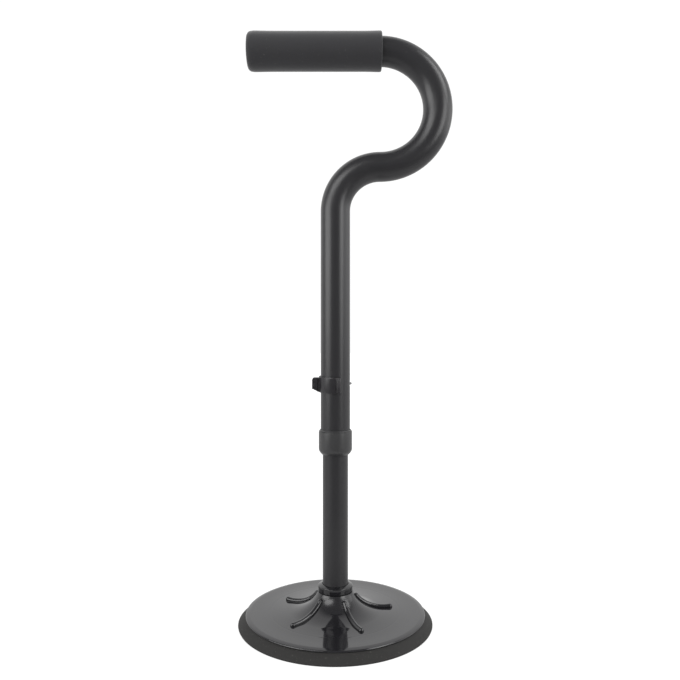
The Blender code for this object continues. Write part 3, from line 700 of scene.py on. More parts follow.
def tube_tree():
    """A tube swept along the object's edges, with pairs of peg holes up the shaft."""
    tree, sizes, ends = geometry_tree(
        "Tube with peg holes",
        {
            "Outer Radius": "Float",
            "Wall": "Float",
            "Hole Radius": "Float",
            "Hole Count": "Int",
            "First Hole": "Float",
            "Hole Pitch": "Float",
            "Overcut": "Float",
            "Material": "Material",
        },
    )
    path = add(tree, "GeometryNodeMeshToCurve", {"Mesh": sizes["Geometry"]}).outputs["Curve"]
    outer_radius = sizes["Outer Radius"]
    outer = swept(tree, path, TUBE_SIDES, outer_radius)
    tangent = add(tree, "GeometryNodeInputTangent").outputs["Tangent"]
    # The bore runs past both ends of the tube
    longer = path
    for at_start, at_end, sign in ((1, 0, -1.0), (0, 1, 1.0)):
        chosen = add(
            tree, "GeometryNodeCurveEndpointSelection", {"Start Size": at_start, "End Size": at_end}
        ).outputs["Selection"]
        reach = calculate(tree, "MULTIPLY", sizes["Overcut"], sign)
        moved = {"Geometry": longer, "Selection": chosen, "Offset": scaled(tree, tangent, reach)}
        longer = add(tree, "GeometryNodeSetPosition", moved).outputs["Geometry"]
    bore = swept(tree, longer, TUBE_SIDES, calculate(tree, "SUBTRACT", outer_radius, sizes["Wall"]))
    reach = calculate(tree, "ADD", outer_radius, sizes["Overcut"])
    rod = cylinder(tree, HOLE_SIDES, sizes["Hole Radius"], calculate(tree, "MULTIPLY", reach, 2.0))
    laid = add(tree, "GeometryNodeTransform", {"Geometry": rod, "Rotation": (0.0, math.pi / 2, 0.0)})
    start = combined(tree, z=sizes["First Hole"])
    step = combined(tree, z=sizes["Hole Pitch"])
    holes = lined_up(tree, laid.outputs["Geometry"], sizes["Hole Count"], start, step)
    closing(tree, cut(tree, outer, [bore, holes]), sizes, ends)
    return tree


def rib_mesh(tree, sizes):
    """One rib, which runs down the flare towards +X and out over the disc, with a ball at each end."""
    # A line of unit length is laid along the flare, with its points closer together near both ends
    line = add(
        tree, "GeometryNodeCurvePrimitiveLine", {"Start": (0.0, 0.0, 0.0), "End": (1.0, 0.0, 0.0)}
    ).outputs["Curve"]
    line = add(tree, "GeometryNodeResampleCurve", {"Curve": line, "Count": RIB_POINTS}).outputs["Curve"]
    position = add(tree, "GeometryNodeInputPosition").outputs["Position"]
    share = add(tree, "ShaderNodeSeparateXYZ", {"Vector": position}).outputs["X"]
    wave = calculate(tree, "COSINE", calculate(tree, "MULTIPLY", share, math.pi))
    eased = calculate(tree, "MULTIPLY_ADD", wave, -0.5, 0.5)
    span = calculate(tree, "SUBTRACT", sizes["Rib End Turn"], sizes["Rib Start Turn"])
    turn = calculate(tree, "MULTIPLY_ADD", eased, span, sizes["Rib Start Turn"])
    cosine = calculate(tree, "COSINE", turn)
    sine = calculate(tree, "SINE", turn)
    across = calculate(tree, "MULTIPLY", sizes["Flare Reach"], cosine)
    radius = calculate(tree, "SUBTRACT", sizes["Flare Radius"], across)
    drop = calculate(tree, "SUBTRACT", 1.0, sine)
    height = calculate(tree, "MULTIPLY_ADD", drop, sizes["Flare Rise"], sizes["Plate Top"])
    # The middle of the rib's section stands off the flare by less than half its width
    slope = combined(
        tree,
        x=calculate(tree, "DIVIDE", cosine, sizes["Flare Reach"]),
        z=calculate(tree, "DIVIDE", sine, sizes["Flare Rise"]),
    )
    normal = add(tree, "ShaderNodeVectorMath", {0: slope}, operation="NORMALIZE").outputs[0]
    half_width = calculate(tree, "MULTIPLY", sizes["Rib Width"], 0.5)
    raised = calculate(tree, "SUBTRACT", sizes["Rib Height"], half_width)
    moved = {
        "Geometry": line,
        "Position": combined(tree, x=radius, z=height),
        "Offset": scaled(tree, normal, raised),
    }
    path = add(tree, "GeometryNodeSetPosition", moved).outputs["Geometry"]
    # The section shrinks as a ball's does over the last half width of each end
    length = add(tree, "GeometryNodeCurveLength", {"Curve": path}).outputs["Length"]
    along = add(tree, "GeometryNodeSplineParameter").outputs["Length"]
    left = calculate(tree, "SUBTRACT", length, along)
    nearest = calculate(tree, "MINIMUM", along, left)
    from_ball = calculate(tree, "DIVIDE", calculate(tree, "SUBTRACT", half_width, nearest), half_width)
    inside = calculate(tree, "MAXIMUM", from_ball, 0.0)
    scale = calculate(tree, "MAXIMUM", circle_height(tree, inside), RIB_TIP_SCALE)
    return swept(tree, path, RIB_SIDES, half_width, scale)


def web_meshes(tree, sizes, step):
    """The webs under the plate: straight ones from rim to rim, clear of the ribs, and a round one."""
    web_size = combined(tree, sizes["Web Length"], sizes["Web Thickness"], sizes["Web Height"])
    web = add(tree, "GeometryNodeMeshCube", {"Size": web_size}).outputs["Mesh"]
    half_turn = calculate(tree, "MULTIPLY", step, 0.5)
    web_start = calculate(tree, "MULTIPLY_ADD", half_turn, 0.5, sizes["Rib Angle"])
    webs = round_z(tree, web, sizes["Rib Count"], web_start, half_turn)
    half_web = calculate(tree, "MULTIPLY", sizes["Web Thickness"], 0.5)
    rings = []
    for operation in ("ADD", "SUBTRACT"):
        ring_radius = calculate(tree, operation, sizes["Round Web Radius"], half_web)
        rings.append(cylinder(tree, WEB_SIDES, ring_radius, sizes["Web Height"]))
    # The inner cylinder is taller, so that no two faces lie in one plane
    excess = (1.0, 1.0, CUTTER_EXCESS)
    taller = add(tree, "GeometryNodeTransform", {"Geometry": rings[1], "Scale": excess})
    return [webs, cut(tree, rings[0], [taller.outputs["Geometry"]])]


def flare_tree():
    """The base plate: the object's turned shape, hollowed between its webs, with ribs up its flare."""
    tree, sizes, ends = geometry_tree(
        "Ribbed base plate",
        {
            "Cavity": "Object",
            "Rib Count": "Int",
            "Rib Width": "Float",
            "Rib Height": "Float",
            "Rib Angle": "Float",
            "Rib Start Turn": "Float",
            "Rib End Turn": "Float",
            "Flare Radius": "Float",
            "Flare Reach": "Float",
            "Flare Rise": "Float",
            "Plate Top": "Float",
            "Web Thickness": "Float",
            "Web Length": "Float",
            "Web Height": "Float",
            "Round Web Radius": "Float",
            "Material": "Material",
        },
    )
    step = calculate(tree, "DIVIDE", math.tau, sizes["Rib Count"])
    ribs = round_z(tree, rib_mesh(tree, sizes), sizes["Rib Count"], sizes["Rib Angle"], step)
    cavity = add(tree, "GeometryNodeObjectInfo", {"Object": sizes["Cavity"]}).outputs["Geometry"]
    hollow = cut(tree, cavity, web_meshes(tree, sizes, step))
    plate = cut(tree, sizes["Geometry"], [hollow])
    closing(tree, fused(tree, [plate, ribs]), sizes, ends)
    return tree


def groove_tree():
    """Upright grooves cut in both sides of the clip's lug, at an even pitch."""
    tree, sizes, ends = geometry_tree(
        "Lug grooves",
        {
            "Groove Count": "Int",
            "First Groove": "Float",
            "Groove Pitch": "Float",
            "Groove Radius": "Float",
            "Side": "Float",
            "Middle": "Float",
            "Height": "Float",
            "Material": "Material",
        },
    )
    rod = cylinder(tree, HOLE_SIDES, sizes["Groove Radius"], sizes["Height"])
    step = combined(tree, x=sizes["Groove Pitch"])
    tools = []
    for sign in (-1.0, 1.0):
        side = calculate(tree, "MULTIPLY", sizes["Side"], sign)
        start = combined(tree, sizes["First Groove"], side, sizes["Middle"])
        tools.append(lined_up(tree, rod, sizes["Groove Count"], start, step))
    closing(tree, cut(tree, sizes["Geometry"], tools), sizes, ends)
    return tree


# Finishes


def shader_group(name, inputs, outputs):
    """A shader node group with named ends. Returns it, what it is given and what it puts out."""
    group = bpy.data.node_groups.new(name, "ShaderNodeTree")
    for label, kind in inputs.items():
        group.interface.new_socket(label, in_out="INPUT", socket_type="NodeSocket" + kind)
    for label, kind in outputs.items():
        group.interface.new_socket(label, in_out="OUTPUT", socket_type="NodeSocket" + kind)
    return group, add(group, "NodeGroupInput").outputs, add(group, "NodeGroupOutput").inputs


def noise(tree, size, detail=2.0):
    """Noise on object coordinates with features of a given size in metres."""
    place = add(tree, "ShaderNodeTexCoord").outputs["Object"]
    scale = calculate(tree, "DIVIDE", 1.0, size)
    look = {"Vector": place, "Scale": scale, "Detail": detail}
    return add(tree, "ShaderNodeTexNoise", look).outputs["Fac"]


def ranged(tree, value, start, end, at_start=0.0, at_end=1.0, interpolation="SMOOTHSTEP"):
    """A level that goes from one to another while a value goes from a start to an end."""
    inputs = {"Value": value, "From Min": start, "From Max": end, "To Min": at_start, "To Max": at_end}
    return add(tree, "ShaderNodeMapRange", inputs, interpolation_type=interpolation).outputs["Result"]


def from_shaft(tree):
    """Distance of the shaded place from the shaft's axis."""
    place = add(tree, "ShaderNodeTexCoord").outputs["Object"]
    flat = add(tree, "ShaderNodeVectorMath", {0: place, 1: (1.0, 1.0, 0.0)}, operation="MULTIPLY").outputs
    return add(tree, "ShaderNodeVectorMath", {0: flat["Vector"]}, operation="LENGTH").outputs["Value"]


def drift_group():
    """Slow changes of tone and roughness, as any moulded or sprayed surface has."""
    if "Surface drift" in bpy.data.node_groups:
        return bpy.data.node_groups["Surface drift"]
    group, given, out = shader_group(
        "Surface drift",
        {"Colour": "Color", "Tone": "Float", "Roughness": "Float", "Spread": "Float", "Size": "Float"},
        {"Colour": "Color", "Roughness": "Float"},
    )
    patches = noise(group, given["Size"])
    centred = calculate(group, "MULTIPLY_ADD", patches, 2.0, -1.0)
    factor = calculate(group, "MULTIPLY_ADD", centred, given["Tone"], 1.0)
    rough = calculate(group, "MULTIPLY_ADD", centred, given["Spread"], given["Roughness"])
    group.links.new(scaled(group, given["Colour"], factor), out["Colour"])
    group.links.new(rough, out["Roughness"])
    return group


def grain_group():
    """Fine bumps: a height from noise and from rounded cells, in any mix."""
    if "Fine grain" in bpy.data.node_groups:
        return bpy.data.node_groups["Fine grain"]
    group, given, out = shader_group("Fine grain", {"Size": "Float", "Cells": "Float"}, {"Height": "Float"})
    soft = noise(group, given["Size"], detail=3.0)
    place = add(group, "ShaderNodeTexCoord").outputs["Object"]
    scale = calculate(group, "DIVIDE", 1.0, given["Size"])
    cells = add(
        group, "ShaderNodeTexVoronoi", {"Vector": place, "Scale": scale}, feature="SMOOTH_F1"
    ).outputs["Distance"]
    mixture = {"Factor": given["Cells"], "A": soft, "B": cells}
    mixed = add(group, "ShaderNodeMix", mixture, data_type="FLOAT")
    group.links.new(mixed.outputs["Result"], out["Height"])
    return group


def dust_group():
    """A mask of small pale specks, thicker towards the floor."""
    if "Dust specks" in bpy.data.node_groups:
        return bpy.data.node_groups["Dust specks"]
    group, given, out = shader_group(
        "Dust specks", {"Size": "Float", "Amount": "Float", "Settling Height": "Float"}, {"Mask": "Float"}
    )
    specks = noise(group, given["Size"], detail=1.0)
    place = add(group, "ShaderNodeTexCoord").outputs["Object"]
    height = add(group, "ShaderNodeSeparateXYZ", {"Vector": place}).outputs["Z"]
    share = ranged(group, height, 0.0, given["Settling Height"], 1.0, DUST_ALOFT, "LINEAR")
    bright = ranged(group, specks, SPECK_START, SPECK_FULL, interpolation="LINEAR")
    amount = calculate(group, "MULTIPLY", share, given["Amount"])
    group.links.new(calculate(group, "MULTIPLY", bright, amount), out["Mask"])
    return group


def finish(name, colour, roughness, **look):
    """A material with drift and grain.

    look holds the tone's drift and the roughness's spread, the size of their patches, the size of
    the grain, its share of cells, its depth and strength, and at will dust and shader values.
    """
    if name in bpy.data.materials:
        return bpy.data.materials[name]
    material = bpy.data.materials.new(name)
    material.use_nodes = True
    tree = material.node_tree
    shader = tree.nodes["Principled BSDF"]
    for label, value in look.get("shader", {}).items():
        shader.inputs[label].default_value = value
    drift = add(
        tree,
        "ShaderNodeGroup",
        {
            "Colour": (*colour, 1.0),
            "Tone": look["tone"],
            "Roughness": roughness,
            "Spread": look["spread"],
            "Size": look["patch"],
        },
        node_tree=drift_group(),
    ).outputs
    shown = drift["Colour"]
    if "dust" in look:
        mask = add(
            tree,
            "ShaderNodeGroup",
            {"Size": look["dust_size"], "Amount": look["dust"], "Settling Height": GRIP_BOX[1].z},
            node_tree=dust_group(),
        ).outputs["Mask"]
        mix = add(tree, "ShaderNodeMix", data_type="RGBA")
        tree.links.new(mask, mix.inputs["Factor"])
        tree.links.new(shown, mix.inputs["A"])
        mix.inputs["B"].default_value = (*colours().dust, 1.0)
        shown = mix.outputs["Result"]
    grain = add(
        tree, "ShaderNodeGroup", {"Size": look["grain"], "Cells": look["cells"]}, node_tree=grain_group()
    ).outputs["Height"]
    relief = {"Strength": look["strength"], "Distance": look["bump"], "Height": grain}
    bump = add(tree, "ShaderNodeBump", relief)
    bump.name = "Grain"
    tree.links.new(shown, shader.inputs["Base Color"])
    tree.links.new(drift["Roughness"], shader.inputs["Roughness"])
    tree.links.new(bump.outputs["Normal"], shader.inputs["Normal"])
    return material


def satin_paint():
    """The powder coat of both tubes."""
    return finish(
        "satin_black_paint", colours().paint, roughness=0.33,
        tone=0.08, spread=0.03, patch=0.030, grain=0.0006, cells=0.2, bump=0.00001, strength=0.5,
    )


def black_foam():
    """The grip's closed-cell foam, with a little dust."""
    return finish(
        "black_foam", colours().foam, roughness=0.80,
        tone=0.14, spread=0.05, patch=0.012, grain=0.0007, cells=0.6, bump=0.00008, strength=0.6,
        dust=0.25, dust_size=0.0011, shader={"Sheen Weight": 0.35, "Sheen Roughness": 0.45},
    )


def gloss_plastic():
    """The polished plastic of the ring, and of the plate but for its neck."""
    return finish(
        "gloss_black_plastic", colours().gloss, roughness=0.07,
        tone=0.05, spread=0.02, patch=0.020, grain=0.0060, cells=0.0, bump=0.000004, strength=0.4,
        shader={"IOR": 1.54},
    )


def slow_fall(tree, base, reach):
    """The height of the plate's skin over the flat one that the mesh has, by distance from the shaft.

    The skin falls slowly from the flare to the rim, by a little over a millimetre. Only its mirror
    images show that.
    """
    outside = calculate(tree, "MAXIMUM", from_shaft(tree), base.fall_start)
    to_end = calculate(tree, "MAXIMUM", calculate(tree, "SUBTRACT", base.fall_end, outside), 0.0)
    steepness = math.tan(base.fall_slope) / (2 * (base.fall_end - base.fall_start))
    fall = calculate(tree, "MULTIPLY", calculate(tree, "MULTIPLY", to_end, to_end), steepness)
    to_flat = calculate(tree, "MAXIMUM", calculate(tree, "SUBTRACT", base.flare_radius, outside), 0.0)
    level = circle_height(tree, calculate(tree, "DIVIDE", to_flat, reach))
    flare = calculate(tree, "MULTIPLY", calculate(tree, "SUBTRACT", 1.0, level), base.flare_rise)
    return calculate(tree, "SUBTRACT", fall, flare)


def plate_plastic(base, reach):
    """The gloss finish, less polished at the neck, with the slow fall of the plate's skin."""
    material = gloss_plastic().copy()
    material.name = "gloss_black_plate"
    tree = material.node_tree
    height = slow_fall(tree, base, reach)
    fall = add(tree, "ShaderNodeBump", {"Strength": 1.0, "Distance": 1.0, "Height": height})
    tree.links.new(fall.outputs["Normal"], tree.nodes["Grain"].inputs["Normal"])
    distance = from_shaft(tree)
    added = ranged(tree, distance, base.dull_radius, base.polished_radius, base.neck_roughness, 0.0)
    roughness = tree.nodes["Principled BSDF"].inputs["Roughness"]
    polish = roughness.links[0].from_socket
    tree.links.new(calculate(tree, "ADD", polish, added), roughness)
    return material


def matt_plastic():
    """The moulded plastic of the bush, the plugs and the glide."""
    return finish(
        "matt_black_plastic", colours().matt, roughness=0.33,
        tone=0.10, spread=0.04, patch=0.008, grain=0.0003, cells=0.5, bump=0.000015, strength=0.5,
    )


def clip_plastic():
    """The smoother plastic of the clip."""
    return finish(
        "smooth_black_plastic", colours().clip, roughness=0.30,
        tone=0.10, spread=0.04, patch=0.006, grain=0.0003, cells=0.5, bump=0.000012, strength=0.5,
    )


def black_rubber():
    """The foot's rubber, with a little dust."""
    return finish(
        "black_rubber", colours().rubber, roughness=0.78,
        tone=0.16, spread=0.06, patch=0.010, grain=0.0005, cells=0.4, bump=0.00004, strength=0.6,
        dust=0.35, dust_size=0.0008,
    )


def zinc_steel():
    """The zinc plate on the nut, the screw and the washer."""
    return finish(
        "zinc_plated_steel", colours().steel, roughness=0.30,
        tone=0.10, spread=0.06, patch=0.003, grain=0.0002, cells=0.0, bump=0.00001, strength=0.4,
        shader={"Metallic": 1.0},
    )


def peg_finish_painted_shade():
    """The peg's steel, darker than the zinc plate: painted shade, for the shade that falls on the peg."""
    return finish(
        "dull_peg_steel", colours().peg_colour_painted_shade, roughness=0.40,
        tone=0.10, spread=0.06, patch=0.003, grain=0.0002, cells=0.0, bump=0.00001, strength=0.4,
        shader={"Metallic": 1.0},
    )


def white_floor(studio):
    """The floor's own white, with the object's shadow on it, and what reflections show of it.

    Near the object a share of the floor takes light as any surface does, and so shows a shadow.
    Elsewhere it is as white as the background. Reflections show it dim in front and bright behind.
    """
    material = bpy.data.materials.new("white_floor")
    material.use_nodes = True
    tree = material.node_tree
    tree.nodes.clear()
    pale = (studio.floor_white, studio.floor_white, studio.floor_white, 1.0)
    lit = add(tree, "ShaderNodeBsdfDiffuse", {"Color": pale}).outputs["BSDF"]
    white = add(tree, "ShaderNodeEmission", {"Strength": studio.floor_level}).outputs["Emission"]
    near = ranged(tree, from_shaft(tree), SHADOW_FULL, SHADOW_END, 1.0, 0.0)
    share = calculate(tree, "MULTIPLY", near, studio.floor_shadow)
    seen = add(tree, "ShaderNodeMixShader", {0: share, 1: white, 2: lit}).outputs["Shader"]
    place = add(tree, "ShaderNodeTexCoord").outputs["Object"]
    depth = add(tree, "ShaderNodeSeparateXYZ", {"Vector": place}).outputs["Y"]
    front = studio.floor_mirrored * studio.room_level
    back = studio.floor_mirrored * studio.backdrop_level
    level = ranged(tree, depth, MIRRORED_FRONT, MIRRORED_BACK, front, back)
    mirrored = add(tree, "ShaderNodeEmission", {"Strength": level}).outputs["Emission"]
    ray = add(tree, "ShaderNodeLightPath").outputs
    mirror = calculate(tree, "MAXIMUM", ray["Is Glossy Ray"], ray["Is Transmission Ray"])
    indirect = add(tree, "ShaderNodeMixShader", {0: mirror, 1: lit, 2: mirrored}).outputs["Shader"]
    surface = add(tree, "ShaderNodeMixShader", {0: ray["Is Camera Ray"], 1: indirect, 2: seen})
    add(tree, "ShaderNodeOutputMaterial", {"Surface": surface.outputs["Shader"]})
    return material


# Curves and tubes that the operators use


class Flare:
    """The quarter ellipse that rises from the plate's disc to its neck.

    Its points are told apart by a turn, which is a right angle where the disc starts and would be
    zero where the wall stands upright.
    """

    def __init__(self, size, base):
        self.base = base
        self.reach = base.flare_radius - round_lower_tube(size) - base.flare_neck_wall
        self.neck = math.asin(1 - (base.socket_top - base.plate_top) / base.flare_rise)

    def point(self, turn, below):
        """The radius and the height at a turn, a distance below the skin."""
        base = self.base
        slope = Vector((math.cos(turn) / self.reach, math.sin(turn) / base.flare_rise)).normalized()
        radius = base.flare_radius - self.reach * math.cos(turn)
        height = base.plate_top + base.flare_rise * (1 - math.sin(turn))
        return radius - slope.x * below, height - slope.y * below

    def points(self, steps, below=0.0):
        """Points from the neck down to the disc."""
        whole = math.pi / 2 - self.neck
        return [self.point(self.neck + whole * step / steps, below) for step in range(steps + 1)]

    def rib_turn(self, radius, side):
        """The turn to which a rib's path runs, for its ball to end near a radius.

        side is -1 at the neck and 1 at the disc.
        """
        half_width = self.base.rib_width / 2
        turn = math.acos((self.base.flare_radius - radius + side * half_width) / self.reach)
        # How far the path runs for a change of its turn
        pace = math.hypot(self.reach * math.sin(turn), self.base.flare_rise * math.cos(turn))
        return turn + side * half_width / pace


def pierced_tube(name, points, outer_radius, hole_count, first_hole):
    """A hollow tube along a run of points, with pairs of peg holes up from a height."""
    size = tubes()
    return run_tree(
        path_object(name, points),
        tube_tree(),
        {
            "Outer Radius": outer_radius,
            "Wall": size.wall,
            "Hole Radius": round_peg(size),
            "Hole Count": hole_count,
            "First Hole": first_hole,
            "Hole Pitch": size.hole_pitch,
            "Overcut": OVERCUT,
            "Material": satin_paint(),
        },
    )


# Operators


class PieceOperator:
    """What every piece's operator shares."""

    bl_options = {"REGISTER", "UNDO"}


class STANDINGAID_OT_handle_tube(PieceOperator, Operator):
    """Sweep the bent handle tube and pierce it for the peg"""

    bl_idname = "standing_aid.handle_tube"
    bl_label = "Handle tube"

    def execute(self, context):
        size = tubes()
        bend_foot = size.grip_axis_height - 2 * size.hook_radius - size.shaft_bend_radius
        bend = arc((size.shaft_bend_radius, bend_foot), size.shaft_bend_radius, 180, 90, BEND_STEPS)
        hook_middle = (size.shaft_bend_radius, size.grip_axis_height - size.hook_radius)
        hook = arc(hook_middle, size.hook_radius, -90, 90, 2 * BEND_STEPS)
        flat = [(0.0, HANDLE_BOX[0].z), *bend, *hook[1:], (HANDLE_BOX[0].x, size.grip_axis_height)]
        points = [(x, 0.0, z) for x, z in flat]
        tube = pierced_tube("handle_tube_skin", points, size.handle_diameter / 2, 1, PEG_HEIGHT)
        finished(tube, satin_paint(), "handle", ["handle_tube"])
        return {"FINISHED"}


class STANDINGAID_OT_lower_tube(PieceOperator, Operator):
    """Sweep the lower tube with its pairs of holes, one pair for each height"""

    bl_idname = "standing_aid.lower_tube"
    bl_label = "Lower tube"

    def execute(self, context):
        size = tubes()
        points = [(0.0, 0.0, LOWER_BOX[0].z), (0.0, 0.0, LOWER_BOX[1].z)]
        outer_radius = round_lower_tube(size) - size.clearance
        lowest_hole = PEG_HEIGHT - size.holes_below * size.hole_pitch
        tube = pierced_tube("lower_tube_skin", points, outer_radius, size.hole_count, lowest_hole)
        finished(tube, satin_paint(), "base", ["lower_tube"])
        return {"FINISHED"}


class STANDINGAID_OT_hand_grip(PieceOperator, Operator):
    """Model the foam grip, closed at one end and slightly swollen near both"""

    bl_idname = "standing_aid.hand_grip"
    bl_label = "Hand grip"

    def execute(self, context):
        size = tubes()
        grip = context.scene.standing_aid_grip
        inside = round_handle_tube(size)
        outside = inside + grip.foam_wall
        length = GRIP_BOX[1].x - GRIP_BOX[0].x
        crown = filleted(
            [(0.0, 0.0, 0.0), (outside, 0.0, grip.crown), (outside, length / 2, 0.0)], closed=False
        )
        outline = crown[:-1]
        # The side swells near both ends, and starts flush with the crown
        first = outline[-1][1]
        last = length - grip.mouth
        for step in range(1, GRIP_STEPS + 1):
            height = first + (last - first) * step / GRIP_STEPS
            closed_share = fading(height - first, grip.closed_swell_length)
            open_share = fading(last - height, grip.open_swell_length)
            blend_share = fading(height - first, grip.crown_blend)
            swell = grip.swell * (closed_share + open_share - blend_share)
            outline.append((outside + swell, height))
        mouth = filleted(
            [
                (outside + grip.swell, length / 2, 0.0),
                (outside + grip.swell, length, grip.mouth),
                (inside, length, SOFT_EDGE),
                (inside, length / 2, 0.0),
            ],
            closed=False,
        )
        outline += mouth[1:-1]
        outline += [(inside, grip.end_wall), (0.0, grip.end_wall)]
        sleeve = turned("hand_grip_foam", outline, ROUND_STEPS, on_axis=True)
        along_x(sleeve, GRIP_BOX[0].x, size.grip_axis_height)
        finished(sleeve, black_foam(), "handle", ["hand_grip"])
        return {"FINISHED"}


class STANDINGAID_OT_collars(PieceOperator, Operator):
    """Turn the bush under the handle tube and the ring at the shaft's foot"""

    bl_idname = "standing_aid.collars"
    bl_label = "Bush and ring"

    def bush(self, size, collar):
        """The bush, with a lip and a groove at its top and a rounded nose round the lower tube."""
        over_handle = round_handle_tube(size)
        over_lower = round_lower_tube(size)
        outside = over_handle + collar.bush_wall
        edge = over_lower + collar.bush_edge
        seat = HANDLE_BOX[0].z - size.clearance
        groove_top = BUSH_BOX[1].z - collar.bush_lip
        shoulder = BUSH_BOX[0].z + outside - edge + collar.bush_shoulder * (math.sqrt(2) - 1)
        nose = arc((outside - collar.bush_shoulder, shoulder), collar.bush_shoulder, 0, -45, NOSE_STEPS)
        outline = [
            (over_handle, BUSH_BOX[1].z, KEEN_EDGE),
            (outside - collar.bush_groove / 2, groove_top, FINE_EDGE),
            (outside - collar.bush_groove, groove_top - collar.bush_groove / 2, 0.0),
            (outside, groove_top - collar.bush_groove, FINE_EDGE),
            *[(x, z, 0.0) for x, z in nose],
            (edge, BUSH_BOX[0].z, KEEN_EDGE),
            (over_lower, BUSH_BOX[0].z, 0.0),
            (over_lower, seat, 0.0),
            (over_handle, seat, 0.0),
        ]
        return turned("end_bush_skin", filleted(outline), ROUND_STEPS)

    def ring(self, size, collar, base):
        """The ring, with a sloping top and a seat on the plate's spigot."""
        over_lower = round_lower_tube(size)
        radius = RING_BOX[1].x
        wall_top = RING_BOX[1].z - collar.ring_cone
        inside = over_lower + base.spigot_wall + size.clearance
        seat = base.socket_top + base.spigot_height + size.clearance
        outline = [
            (over_lower, RING_BOX[1].z, KEEN_EDGE),
            (radius, wall_top, collar.ring_rounding),
            (radius, RING_BOX[0].z, collar.ring_rounding),
            (inside, RING_BOX[0].z, 0.0),
            (inside, seat, 0.0),
            (over_lower, seat, 0.0),
        ]
        return turned("neck_ring_skin", filleted(outline), ROUND_STEPS)

    def execute(self, context):
        size = tubes()
        collar = context.scene.standing_aid_collars
        bush = self.bush(size, collar)
        finished(bush, matt_plastic(), "handle", ["end_bush"])
        ring = self.ring(size, collar, context.scene.standing_aid_base)
        finished(ring, gloss_plastic(), "base", ["neck_ring"])
        return {"FINISHED"}


